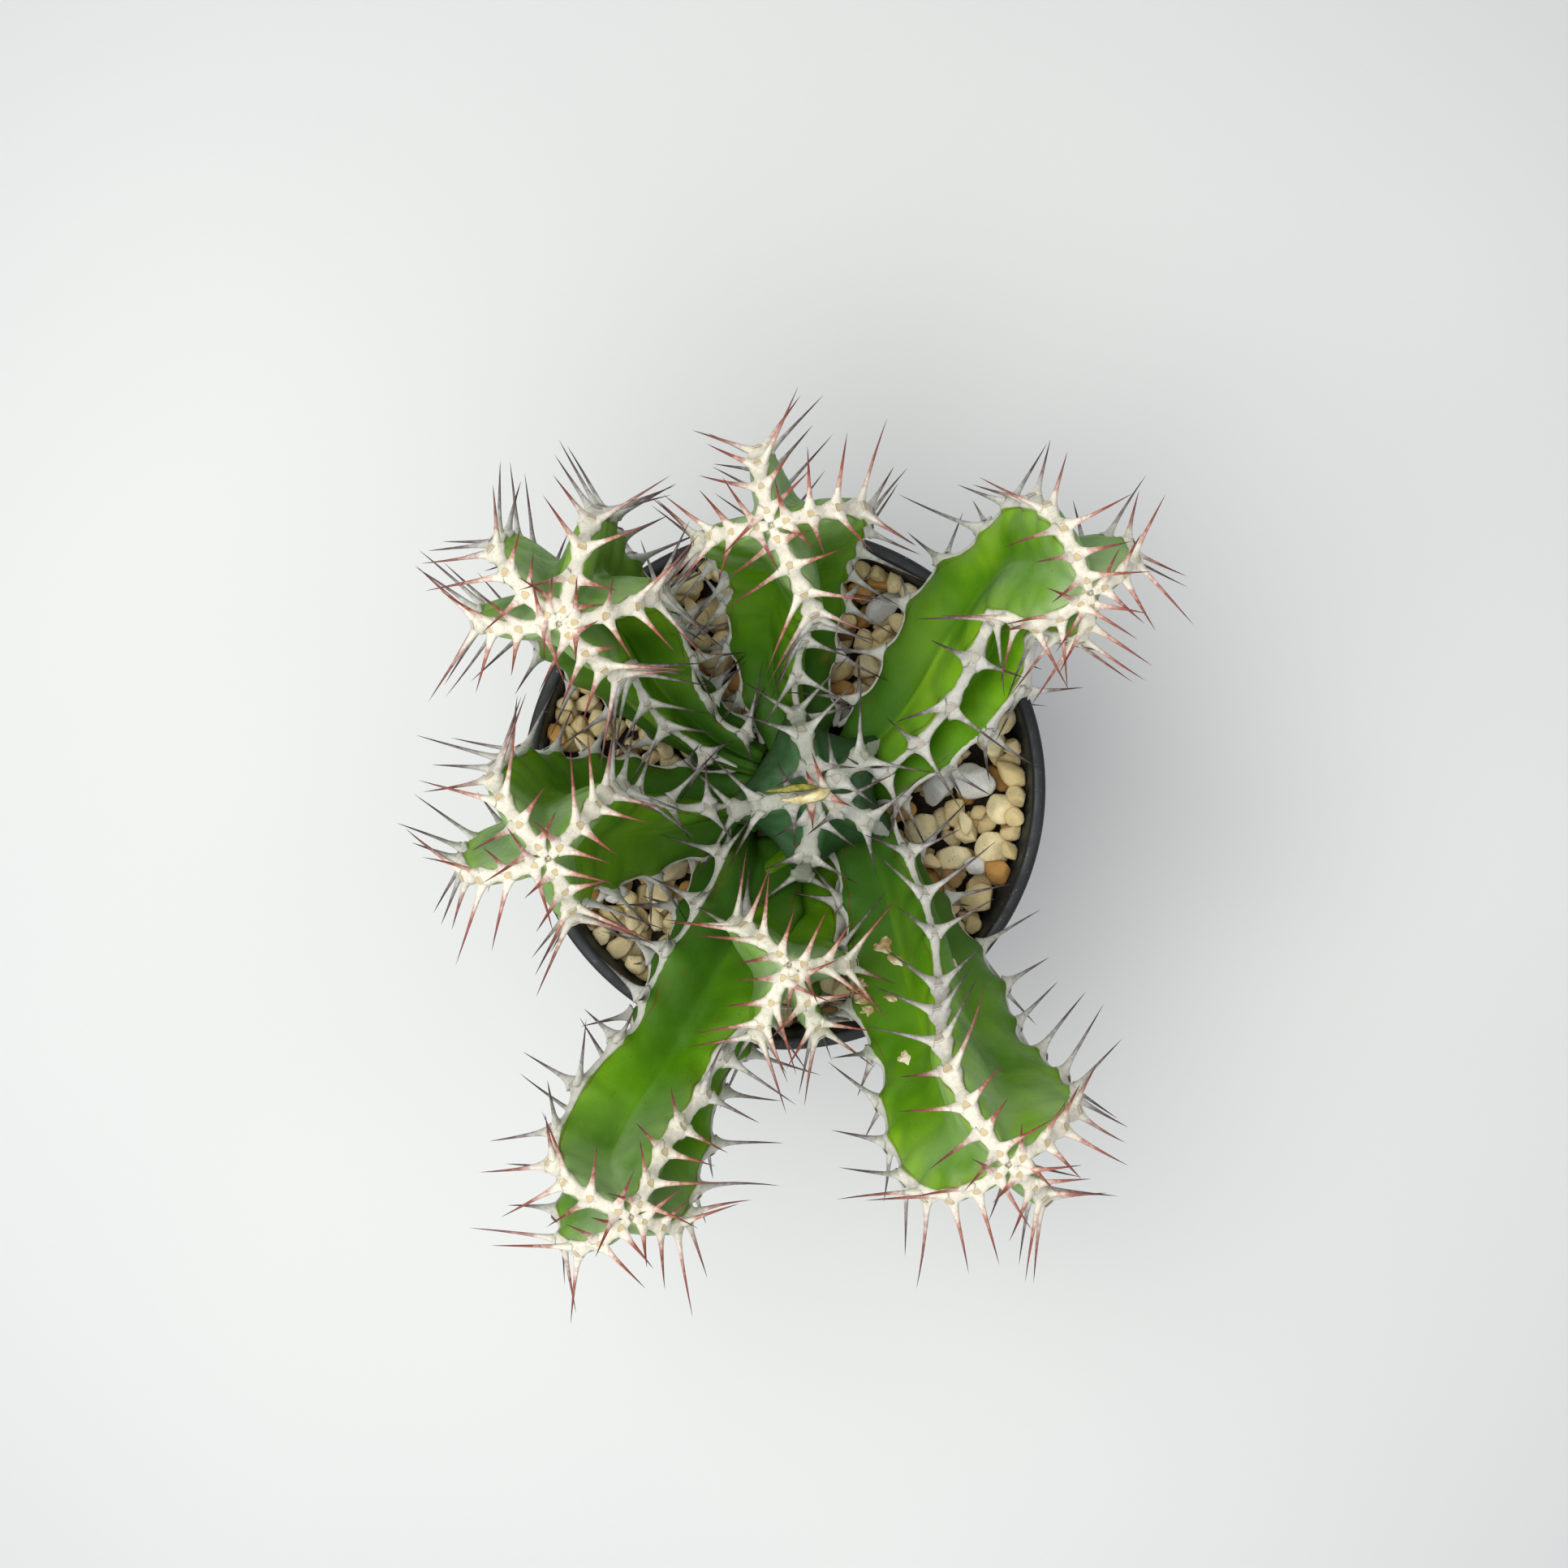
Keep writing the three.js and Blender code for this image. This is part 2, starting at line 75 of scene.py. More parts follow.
# Grit: highest tops, reach from the axis, tries and radii with their shares
STONE_TOP = 73.6
WALL_STONE_TOP = 75.2
STONE_REACH = 41.2
WALL_LEAN = 0.17
STONE_COUNT = 560
STONE_TRIES = 7000
STONE_SIZES = (1.7, 2.2, 2.7, 3.3)
STONE_SHARES = (0.25, 0.3, 0.3, 0.15)
STONE_TOUCH = 0.9
STONE_SINK = 0.74
STONE_CUTS = 12
WALL_SHARE = 0.3
BED_TRIES = 900
BED_SIZES = (1.7, 2.4)
BED_WEST = 9.0

# Ribs: scale to the skin's ridge line, depth between the ribs, and the green edge below the margin
RIB_SCALE = 0.915
VALLEY = 0.42
TRUNK_VALLEY = 0.74
FLANK_POWER = 2.2
WAIST_SPREAD = 0.085
FOOT_SINK = 0.3
REACH = 21.0
EDGE_HALF = 0.75
EDGE_SWELL = 0.7
AXIS_STEPS = 401
AXIS_SAMPLES = 81
RIDGE_STEPS = 500
FLESH_ROWS = 176
FLESH_COLS = 26
ELDER_SHARE = 0.6

# Teeth: runs are lengths along a ridge line, counted from the growing tip
TOOTH_PITCH = 9.6
PITCH_STEP = 1.2
FIRST_PITCH = 4.4
ELDER_PITCH = 0.035
TOOTH_REACH = 2.0
YOUNG_TOOTH = 0.42
SETTLED_RUN = 7
GROWN_RUN = 22.0
GREY_RUN = 45

# Margins: half width, height over the green edge and depth under it, each between teeth and added on a tooth
WAIST_HALF = 0.92
OLD_HALF = 0.28
PAD_SWELL = 0.95
MARGIN_START = 0.45
MARGIN_STEP = 0.36
LIFT = (-0.7, 1.15)
SWELL = (0.33, 0.30)
DEPTH = (0.25, 0.75)

# Spines
SPINE_LENGTH = (8.0, 14.0)
SPINE_SPREAD = 50
SPINE_SIDES = 8
SPINE_TRIES = ((0, 1), (-12, 1), (12, 1), (-24, 0.9), (-34, 0.8), (-44, 0.6))
OLD_FLARE = 1.55
YOUNG_FLARE = 0.95
RIM_INSIDE = 41
RIM_OUTSIDE = 46.5

# axis: control points, heights from the rim plane; azimuth: way the stem leans; ribs: angles from its inner side;
# radii: foot, middle and shoulder; dome: share of the length where the tip rounds; twist: turn along the stem;
# waist: place and depth of the pinch; tint: share of lime green; elder: added age in millimetres of run
STEMS = {
    "trunk": dict(
        axis=[(4, -1, -24), (4.5, -1, -8), (5, -0.8, 8), (5.5, -0.8, 21)],
        azimuth=0, ribs=[77, 142, 209, 278, 348], radii=[9.3, 12.6, 16], dome=0.66, twist=0,
        waist=(0.4, 0.06), tint=0.0, elder=80, first_tooth=4.2, valley=TRUNK_VALLEY,
    ),
    "arm_south": dict(
        axis=[(4, -10, 0), (1, -26.4, 0.5), (-1.9, -34.1, 12.1), (0.8, -28.3, 38)],
        azimuth=265, ribs=[69, 135, 188, 301], radii=[7.8, 11.3, 12.8], dome=0.7, twist=12,
        waist=(0.45, 0.08), tint=0.25,
    ),
    "arm_north": dict(
        axis=[(4, 6, 2), (-4.9, 24.1, -2), (4.9, 42.2, 15.8), (-1.9, 40.3, 60.8)],
        azimuth=92, ribs=[-9, 96, 177, 267], radii=[7.6, 12.4, 15.1], dome=0.78, twist=-12,
        waist=(0.45, 0.12), tint=0.1,
    ),
    "arm_northeast": dict(
        axis=[(10, 3, 2), (32.6, 10.4, 16.6), (36.4, 50.5, 13.6), (47.7, 30.5, 52)],
        azimuth=40, ribs=[-22, 96, 189, 289], radii=[8.9, 14.7, 12.3], dome=0.86, twist=13,
        waist=(0.6, 0.2), tint=0.8,
    ),
    "arm_northwest": dict(
        axis=[(-4, 4, 2), (-28.8, 13.4, -0.4), (-34.2, 42.7, 20.7), (-33.8, 24.8, 70)],
        azimuth=142, ribs=[23, 139, 190, 258, 324], radii=[6, 15.5, 15.4], dome=0.84, twist=-10,
        waist=(0.5, 0.14), tint=0.8,
    ),
    "arm_west": dict(
        axis=[(-4, -2, 2), (-27.5, -7.9, 0.6), (-44.8, -2.7, 18.5), (-35.8, -10.6, 65.2)],
        azimuth=188, ribs=[0, 106, 197, 272], radii=[7, 15.2, 14.5], dome=0.78, twist=-36,
        waist=(0.42, 0.12), tint=0.45,
    ),
    "arm_southwest": dict(
        axis=[(-6, -10, -2), (-3.3, -29.2, 14.7), (-35.9, -66.4, 15.6), (-24.1, -67.5, 46.3)],
        azimuth=252, ribs=[72, 147, 262, 331], radii=[11, 14, 14.2], dome=0.78, twist=-55,
        waist=(0.5, 0.2), tint=0.1,
    ),
    "arm_southeast": dict(
        axis=[(14, -6, 2), (25.8, -34.1, 14.2), (27.7, -48.4, 24.1), (34, -56.9, 66.2)],
        azimuth=300, ribs=[38, 142, 210, 299], radii=[8.9, 15.9, 17], dome=0.72, twist=-46,
        waist=(0.5, 0.17), tint=0.45,
    ),
}

# Corky flakes on the south-east arm: x, y and radius
FLAKES = [
    (16.6, -26.4, 2.8), (19.0, -28.6, 1.9), (12.4, -32.6, 2.9), (13.2, -34.8, 2.2), (13.8, -36.8, 1.8),
    (19.6, -43.8, 2.5), (12.0, -39.6, 2.2), (17.6, -34.6, 1.3), (13.6, -45.0, 1.5), (28.6, -29.6, 2.4),
]


def smooth(x):
    k = np.clip(x, 0.0, 1.0)
    return k * k * (3 - 2 * k)


def settled(run):
    """Near 0 at the growing tip, where ribs are still low, and 1 from a few millimetres down."""
    return smooth((run + 1) / SETTLED_RUN)


def unit(v):
    return v / np.maximum(np.linalg.norm(v, axis=-1, keepdims=True), 1e-9)


# Mesh building
class Skin:
    """Gathers vertices, faces and per-vertex numbers for one mesh, in millimetres."""

    def __init__(self):
        self.verts = []
        self.faces = []
        self.numbers = {}
        self.count = 0

    def add(self, verts, faces, **numbers):
        verts = np.asarray(verts, float).reshape(-1, 3)
        self.verts.append(verts)
        for face in faces:
            face = np.asarray(face, int)
            if len(face):
                self.faces.append(face + self.count)
        for name, value in numbers.items():
            value = np.asarray(value, float)
            shape = (len(verts), 3) if name == "tone" else (len(verts),)
            self.numbers.setdefault(name, []).append(np.broadcast_to(value, shape))
        self.count += len(verts)

    def build(self, name, material, shade_smooth=True):
        verts = np.concatenate(self.verts) * MM
        loops = np.concatenate([f.ravel() for f in self.faces])
        sizes = np.concatenate([np.full(len(f), f.shape[1]) for f in self.faces])
        mesh = bpy.data.meshes.new(name)
        mesh.vertices.add(len(verts))
        mesh.vertices.foreach_set("co", verts.ravel())
        mesh.loops.add(len(loops))
        mesh.loops.foreach_set("vertex_index", loops.astype(np.int32))
        mesh.polygons.add(len(sizes))
        starts = np.r_[0, np.cumsum(sizes)[:-1]]
        mesh.polygons.foreach_set("loop_start", starts.astype(np.int32))
        mesh.update(calc_edges=True)
        mesh.validate()
        if shade_smooth:
            mesh.shade_smooth()
        else:
            mesh.shade_flat()
        for key, parts in self.numbers.items():
            values = np.concatenate(parts)
            if values.ndim == 2:
                layer = mesh.attributes.new(key, "FLOAT_COLOR", "POINT")
                layer.data.foreach_set("color", np.c_[values, np.ones(len(values))].ravel())
            else:
                layer = mesh.attributes.new(key, "FLOAT", "POINT")
                layer.data.foreach_set("value", values.ravel())
        obj = bpy.data.objects.new(name, mesh)
        bpy.context.scene.collection.objects.link(obj)
        mesh.materials.append(material)
        return obj


def grid_faces(rows, cols, wrap):
    i, j = np.meshgrid(np.arange(rows - 1), np.arange(cols if wrap else cols - 1), indexing="ij")
    a = i * cols + j
    b = i * cols + (j + 1) % cols
    return np.stack([a, b, b + cols, a + cols], -1).reshape(-1, 4)


def fan(centre, ring, flip=False):
    ring = np.asarray(ring)
    after = np.roll(ring, -1)
    tris = np.stack([np.full(len(ring), centre), ring, after], -1)
    return tris[:, ::-1] if flip else tris


def closed(rows, cols):
    """Faces of a stack of rings, closed at each end to one of the two points that follow the rings."""
    ring = np.arange(cols)
    last = (rows - 1) * cols
    return [grid_faces(rows, cols, True), fan(rows * cols, ring, flip=True), fan(rows * cols + 1, last + ring)]


# Stems
class Stem:
    def __init__(self, name, axis, azimuth, ribs, radii, dome, twist, waist, tint, elder=0, first_tooth=2.6,
                 valley=VALLEY):
        self.name = name
        self.ribs = np.array(ribs, float)
        self.radii = radii
        self.dome = dome
        self.twist = twist
        self.tint = tint
        self.elder = elder
        self.valley = valley
        self.sunk = 0.0 if elder else FOOT_SINK
        self.first_tooth = first_tooth
        self.waist = waist
        self.points = np.array(axis, float) + (0, 0, POT_HEIGHT)
        turn = math.radians(azimuth)
        self.cross = np.array([-math.sin(turn), math.cos(turn), 0.0])
        t = np.linspace(0, 1, AXIS_STEPS)
        steps = np.linalg.norm(np.diff(self.at(t), axis=0), axis=1)
        run = np.r_[0, np.cumsum(steps)]
        self.length = run[-1]
        self.table = (run / run[-1], t)
        self.sample_u = np.linspace(0, 1, AXIS_SAMPLES)
        self.samples = self.frame(self.sample_u)
        self.rng = np.random.default_rng(sum(ord(c) for c in name) * 7 + 11)
        self.ridges = [self.ridge(k) for k in range(len(ribs))]
        self.teeth = [self.tooth_runs(r["run"][-1]) for r in self.ridges]

    def at(self, t):
        p = self.points
        t = np.asarray(t)[..., None]
        s = 1 - t
        return s**3 * p[0] + 3 * s * s * t * p[1] + 3 * s * t * t * p[2] + t**3 * p[3]

    def frame(self, u):
        """Point on the axis, its tangent, the inner direction and the side direction at shares of the length."""
        t = np.interp(u, *self.table)
        p = self.points
        s = 1 - t[..., None]
        q = t[..., None]
        tangent = unit(s * s * (p[1] - p[0]) + 2 * s * q * (p[2] - p[1]) + q * q * (p[3] - p[2]))
        inner = unit(np.cross(tangent, self.cross))
        return self.at(t), tangent, inner, np.cross(inner, tangent)

    def radius(self, u):
        """Radius of the ridge lines, with the pinch and the dome."""
        root, middle, shoulder = self.radii
        body = root + (middle - root) * smooth(u / 0.5) + (shoulder - middle) * smooth((u - 0.5) / 0.3)
        place, depth = self.waist
        pinch = 1 - depth * np.exp(-(((u - place) / WAIST_SPREAD) ** 2))
        k = np.clip((u - self.dome) / (1 - self.dome), 0, 1)
        return body * pinch * RIB_SCALE * np.sqrt(np.maximum(0, 1 - k**2.2))

    def angle(self, rib, u):
        wraps, k = divmod(rib, len(self.ribs))
        return np.radians(self.ribs[k] + 360 * wraps + self.twist * u)

    def ridge(self, rib):
        """Ridge line of one rib from the tip down, with closer steps near the tip."""
        u = 1 - np.linspace(0, 1, RIDGE_STEPS) ** 2 * 0.985
        origin, tangent, inner, side = self.frame(u)
        angle = self.angle(rib, u)[:, None]
        out = inner * np.cos(angle) + side * np.sin(angle)
        at = origin + out * self.radius(u)[:, None]
        run = np.r_[0, np.cumsum(np.linalg.norm(np.diff(at, axis=0), axis=1))]
        return dict(u=u, at=at, run=run, out=out, tangent=tangent)

    def tooth_runs(self, end):
        runs = []
        run, pitch = self.first_tooth, FIRST_PITCH + ELDER_PITCH * self.elder
        while run < end:
            runs.append(run)
            run += pitch * (0.88 + 0.24 * self.rng.random())
            pitch = min(TOOTH_PITCH, pitch + PITCH_STEP)
        return np.array(runs)

    def grown(self, run):
        return smooth((run + self.elder) / GROWN_RUN)

    def fresh(self, run):
        """1 where the horn is still cream and red, 0 where it has gone grey."""
        return 1 - smooth((run + self.elder) / GREY_RUN)

    def tooth(self, rib, run):
        """1 on a tooth, 0 between teeth, and lower near the growing tip."""
        gap = np.abs(run[..., None] - self.teeth[rib % len(self.ribs)])
        share = YOUNG_TOOTH + (1 - YOUNG_TOOTH) * self.grown(run)
        return np.exp(-((gap.min(-1) / TOOTH_REACH) ** 2)) * share

    def lift(self, rib, run):
        """Height of the green rib edge over the plain ridge line."""
        return LIFT[0] + LIFT[1] * self.tooth(rib, run)

    def spot(self, rib, run):
        """Point, directions and lift of the green edge on a ridge line, at runs measured from the tip."""
        ridge = self.ridges[rib]

        def pick(key, run):
            return np.stack([np.interp(run, ridge["run"], ridge[key][:, i]) for i in range(3)], -1)

        at, out, tangent = (pick(key, run) for key in ("at", "out", "tangent"))
        along = unit(pick("at", run + 0.3) - pick("at", run - 0.3))
        lean = (2 * (1 - smooth(run / 6)))[..., None]
        across = unit(np.cross(out + tangent * lean, along))
        normal = unit(np.cross(along, across))
        upright = np.clip((normal * out).sum(-1), 0, 1)
        return at, along, across, normal, self.lift(rib, run) * settled(run) * upright

    def clearance(self, points):
        """How far points stand outside this stem, taken along its radius."""
        points = np.atleast_2d(points)
        origin, tangent, inner, side = self.samples
        gap = np.linalg.norm(points[:, None] - origin[None], axis=-1)
        k = gap.argmin(1)
        if gap.min() > REACH:
            return gap.min(1) - REACH / 2
        offset = points - origin[k]
        along = (offset * tangent[k]).sum(1)
        flat = offset - tangent[k] * along[:, None]
        angle = np.arctan2((flat * side[k]).sum(1), (flat * inner[k]).sum(1))
        wall = self.wall(self.sample_u[k], angle)
        result = np.linalg.norm(flat, axis=1) - wall
        beyond = (k == len(self.sample_u) - 1) & (along > 0)
        return np.where(beyond, np.linalg.norm(offset, axis=1), result)

    def wall(self, u, angle):
        """Distance of the skin from the axis at given angles."""
        result = self.radius(u).copy()
        for rib in range(len(self.ribs)):
            here = self.angle(rib, u)
            span = self.angle(rib + 1, u) - here
            ahead = np.mod(angle - here, 2 * np.pi)
            hit = ahead <= span
            near = np.minimum(ahead, span - ahead) / (span / 2)
            value = self.radius(u) * (self.valley + (1 - self.valley) * np.clip(1 - near, 0, 1) ** FLANK_POWER)
            result = np.where(hit, value, result)
        return result


def flesh(stem, material):
    """Skin of one stem as rows from foot to tip, with numbers that colour it.

    edge is the distance from the margin and age the run from the tip; the third number is the nearness to a tooth,
    which the material turns into painted shade in the hollow below each tooth.
    """
    rows, cols = FLESH_ROWS, FLESH_COLS
    mean_run = np.mean([ridge["run"] for ridge in stem.ridges], axis=0)
    x = np.linspace(mean_run[-1], 0, rows - 1)
    u = np.r_[0, np.interp(x, mean_run, stem.ridges[0]["u"])]
    u[-1] = 0.9998
    origin, _, inner, side = stem.frame(u)
    share = 0.5 - 0.5 * np.cos(np.pi * np.arange(cols) / cols)
    ring_r = stem.radius(u)
    parts = []
    for rib in range(len(stem.ribs)):
        here = stem.angle(rib, u)[:, None]
        span = stem.angle(rib + 1, u)[:, None] - here
        near = 1 - np.abs(1 - 2 * share)[None, :]
        close = np.where(share < 0.5, rib, rib + 1) % len(stem.ribs)
        run = np.zeros((rows, cols))
        bump = np.zeros((rows, cols))
        for k in set(close):
            ridge = stem.ridges[k]
            run[:, close == k] = np.interp(u, ridge["u"][::-1], ridge["run"][::-1])[:, None]
            bump[:, close == k] = stem.tooth(k, run[:, close == k])
        radius = np.maximum(ring_r * (1 - stem.sunk * (1 - smooth(u / 0.09))), 0.02)[:, None]
        full = settled(run)
        half = (EDGE_HALF + EDGE_SWELL * bump) * (0.55 + 0.45 * full)
        blunt = np.minimum(np.arcsin(np.clip(half / radius, 0, 0.95)) / (span / 2), 0.42)
        flank = np.clip((near - blunt) / (1 - blunt), 0, 1)
        wall = stem.valley + (1 - stem.valley) * (1 - flank) ** FLANK_POWER
        # Rounded edge, teeth, swelling between teeth, hollow below a tooth, then slow waves
        r = radius * wall - 0.35 * np.clip(near / blunt, 0, 1) ** 2 * np.exp(-flank * 9) * full
        r += (LIFT[0] + LIFT[1] * bump) * np.exp(-flank * 4) * full
        r += 0.75 * (1 - bump) * np.exp(-(((flank - 0.3) / 0.24) ** 2)) * full
        r -= 0.35 * bump * np.exp(-(((flank - 0.45) / 0.3) ** 2)) * full
        wave = np.sin(0.21 * run + 5 * near + 2.1 * rib) + np.sin(0.37 * run - 4 * near + 1.3 * rib)
        r += 0.16 * wave * np.clip(flank * 4, 0, 1) * full
        r = np.maximum(r, 0.01)
        angle = here + span * share[None, :]
        out = inner[:, None] * np.cos(angle)[..., None] + side[:, None] * np.sin(angle)[..., None]
        strip = (WAIST_HALF + PAD_SWELL * bump) - half
        reach = (near - blunt) * (span / 2) * radius * wall
        drop = np.maximum(0, radius * (1 - wall))
        edge = np.sign(near - blunt) * np.hypot(reach, drop) - strip / 0.45
        parts.append((origin[:, None] + out * r[..., None], edge, run, bump * np.exp(-flank * 1.6)))
    verts, edge, age, fold = (np.concatenate(part, axis=1) for part in zip(*parts))
    width = verts.shape[1]
    skin = Skin()
    flat = np.r_[verts.reshape(-1, 3), [stem.at(1.0)], [stem.at(0.0)]]
    faces = grid_faces(rows, width, True)
    last = (rows - 1) * width
    top = fan(rows * width, last + np.arange(width))
    low = fan(rows * width + 1, np.arange(width), flip=True)
    skin.add(
        flat, [faces, top, low],
        edge=np.r_[edge.ravel(), 0, 5], age=np.r_[age.ravel(), 0, 80] + ELDER_SHARE * stem.elder,
        tint=stem.tint, fold=np.r_[fold.ravel(), 0, 0],
    )
    return skin.build("flesh_" + stem.name, material)


# Horny margins and spines
def cap_profile(x):
    """Height of the margin's rounded top across its width, from 1 in the middle to 0 at the sides."""
    return (1 - np.abs(x) ** 4) ** 0.6


def margin_end(stem, rib, others):
    """Run at which a margin goes into the grit or into another stem."""
    ridge = stem.ridges[rib]
    step = 5
    at = ridge["at"][::step]
    stop = at[:, 2] < STONE_TOP - 5
    for other in others:
        stop |= other.clearance(at) < -1.2
    stop[:6] = False
    first = np.argmax(stop) if stop.any() else len(at) - 1
    return ridge["run"][first * step]


def spine_clear(stem, root, tip, stems):
    """Whether a spine stays out of every stem, the rim and the grit."""
    for other in stems:
        shares = (0.5, 0.75, 1.0) if other is stem else (0.15, 0.4, 0.7, 1.0)
        points = np.array([root + (tip - root) * k for k in shares])
        if other.clearance(points).min() < (0.1 if other is stem else 0.6):
            return False
    reach = math.hypot(tip[0], tip[1])
    low = POT_HEIGHT + 0.4 if RIM_INSIDE < reach < RIM_OUTSIDE else STONE_TOP
    return not (reach < RIM_OUTSIDE and tip[2] < low)


def spine_mesh(skin, root, direction, along, length, bend, young, flare):
    """Adds one closed, tapered spine that widens into the margin at its foot."""
    shares = np.array([0, 0.04, 0.09, 0.15, 0.22, 0.32, 0.46, 0.64, 0.82, 0.94])
    e1 = along - direction * along.dot(direction)
    e1 = e1 / np.linalg.norm(e1)
    e2 = np.cross(direction, e1)
    far = shares * length
    wide = 0.42 * (1 - shares) ** 0.8 + flare * np.exp(-far / 1.25)
    thick = 0.39 * (1 - shares) ** 0.8 + 0.5 * np.exp(-far / 1.3)
    sides = SPINE_SIDES
    turn = np.linspace(0, 2 * np.pi, sides, endpoint=False)
    centre = root + direction * far[:, None] + bend * (shares**2)[:, None]
    ring = centre[:, None] + (
        e1 * np.cos(turn)[:, None] * wide[:, None, None] + e2 * np.sin(turn)[:, None] * thick[:, None, None]
    )
    tip = root + direction * length + bend
    verts = np.r_[ring.reshape(-1, 3), [tip], [root]]
    rows = len(shares)
    faces = grid_faces(rows, sides, True)
    top = fan(rows * sides, (rows - 1) * sides + np.arange(sides))
    low = fan(rows * sides + 1, np.arange(sides), flip=True)
    skin.add(
        verts, [faces, top, low],
        spine=np.r_[np.repeat(shares, sides), 1.0, 0.0], young=young, eye=0.0,
    )


def apex_spines(skin, trunk):
    """Young spines that stand at the trunk's growing point."""
    tip = trunk.at(1.0)
    up = np.array([0.0, 0.0, 1.0])
    shots = [((1.2, 0.6), (-0.35, 1.0, 0.55), 7.5), ((-0.8, 1.0), (-0.3, 0.75, 0.9), 4.5),
             ((-1.0, -1.2), (0.05, -1.0, 0.45), 5.5), ((1.6, -0.4), (1.0, -0.45, 0.6), 5.0)]
    for (x, y), way, length in shots:
        way = np.array(way) / np.linalg.norm(way)
        root = tip + (x, y, 0.2)
        spine_mesh(skin, root, way, np.cross(way, up), length, up * 0.3, 0.95, flare=0.6)


def margins(stem, stems, material):
    """Horny margin on every rib, with a pair of spines and a leaf scar on each tooth."""
    skin = Skin()
    rng = stem.rng
    others = [s for s in stems if s is not stem]
    half_steps = np.array([0.13, 0.38, 0.6, 0.78, 0.9, 0.97, 1])
    across_steps = np.r_[-half_steps[::-1], half_steps]
    for rib in range(len(stem.ribs)):
        end = margin_end(stem, rib, others)
        run = np.arange(MARGIN_START, end, MARGIN_STEP)
        if len(run) < 8:
            continue
        at, along, across, normal, lift = stem.spot(rib, run)
        bump = stem.tooth(rib, run)
        full = settled(run)
        taper = np.minimum(1, (end - run) / 6 + 0.2) * (0.6 + 0.4 * full)
        noise = np.convolve(rng.normal(0, 1, len(run) + 6), np.ones(3) / 3, "same")[3:-3]
        noise *= 0.4 + 0.6 * stem.grown(run)
        pad = bump * smooth((end - run) / 6)
        half = (WAIST_HALF + (OLD_HALF if stem.elder else 0) + PAD_SWELL * pad + 0.10 * noise) * taper
        half *= 1 - 0.38 * smooth((run - 36) / 22)
        swell = SWELL[0] + SWELL[1] * pad + 0.05 * noise
        deep = (DEPTH[0] + DEPTH[1] * bump) * full
        top = lift + swell

        def cap(i, x):
            return -deep[i] + lift[i] + (swell[i] + deep[i]) * cap_profile(x)

        rows = []
        for i in range(len(run)):
            lean = 0.08 * np.sin(run[i] * 1.7 + rib)
            arc = [
                at[i] + across[i] * (x + lean * (1 - x * x)) * half[i] + normal[i] * cap(i, x)
                for x in across_steps
            ]
            floor = min(cap(i, 1.0), 0) - 0.25
            arc += [at[i] + across[i] * x * half[i] + normal[i] * floor for x in (0.5, -0.5)]
            rows.append(arc)
        cols = len(rows[0])
        verts = np.array(rows).reshape(-1, 3)
        n = len(run)
        skin.add(
            np.r_[verts, [verts[:cols].mean(0)], [verts[-cols:].mean(0)]], closed(n, cols),
            spine=0.0, eye=0.0, young=np.r_[np.repeat(stem.fresh(run), cols), 0, 0],
        )
        for tooth in stem.teeth[rib]:
            if tooth > end - 1.2:
                break
            i = int(np.clip(np.searchsorted(run, tooth), 1, n - 1))
            fresh = float(stem.fresh(tooth))
            length_scale = 0.8 + 0.2 * float(smooth(tooth / 14))
            for flank in (-1, 1):
                base = rng.uniform(*SPINE_LENGTH) * length_scale
                lean = rng.normal(0, 0.24)
                root = at[i] + across[i] * flank * half[i] * 0.5 + normal[i] * (top[i] - 0.75)
                placed = False
                for turn, share in SPINE_TRIES:
                    angle = math.radians(SPINE_SPREAD + turn + rng.uniform(-9, 9))
                    way = normal[i] * math.cos(angle) + across[i] * flank * math.sin(angle) - along[i] * lean
                    way /= np.linalg.norm(way)
                    curl = 0.06 * (3.2 if rng.random() < 0.14 else 1.0)
                    bend = (normal[i] * rng.uniform(-0.6, 1.2) + along[i] * rng.uniform(-1, 1)) * base * curl
                    tip = root + way * base * share + bend
                    if spine_clear(stem, root, tip, stems):
                        placed = True
                        break
                if placed:
                    flare = OLD_FLARE + (YOUNG_FLARE - OLD_FLARE) * fresh
                    spine_mesh(skin, root, way, along[i], base * share, bend, fresh, flare)
            eye_disc(skin, stem, rib, tooth - 0.35, half[i], fresh, rng)
    if stem.elder:
        apex_spines(skin, stem)
    return skin.build("margins_" + stem.name, material)


def eye_disc(skin, stem, rib, run, half, fresh, rng):
    """Leaf scar on a pad: a small rounded triangle with a raised rim."""
    at, along, across, normal, base = (a[0] for a in stem.spot(rib, np.array([run])))
    bump = float(stem.tooth(rib, np.array([run]))[0])
    swell = SWELL[0] + SWELL[1] * bump
    deep = (DEPTH[0] + DEPTH[1] * bump) * float(settled(run))
    size = 0.46 + 0.22 * float(stem.grown(run)) + 0.10 * rng.random()
    turn = np.linspace(0, 2 * np.pi, 16, endpoint=False)
    shape = 1 + 0.13 * np.cos(3 * turn)
    # Scale, height over the pad and colour number of each ring, from outside in
    rings = [(1.35, -0.06, 0.0), (1.12, 0.09, 0.35), (0.95, 0.05, 1.0), (0.5, 0.06, 1.0)]
    verts, eye = [], []
    for scale, up, value in rings:
        a = size * scale * shape * np.cos(turn)
        b = size * scale * shape * np.sin(turn) * 0.88
        height = base - deep + (swell + deep) * cap_profile(np.clip(b / half, -0.99, 0.99)) + up
        verts.append(at + along * a[:, None] + across * b[:, None] + normal * height[:, None])
        eye += [value] * len(turn)
    centre = at + normal * (base + swell + 0.05)
    verts = np.r_[np.concatenate(verts), [centre]]
    sides = len(turn)
    faces = grid_faces(len(rings), sides, True)
    top = fan(len(rings) * sides, (len(rings) - 1) * sides + np.arange(sides))
    skin.add(verts, [faces, top], spine=0.0, eye=np.array(eye + [1.0]), young=fresh)


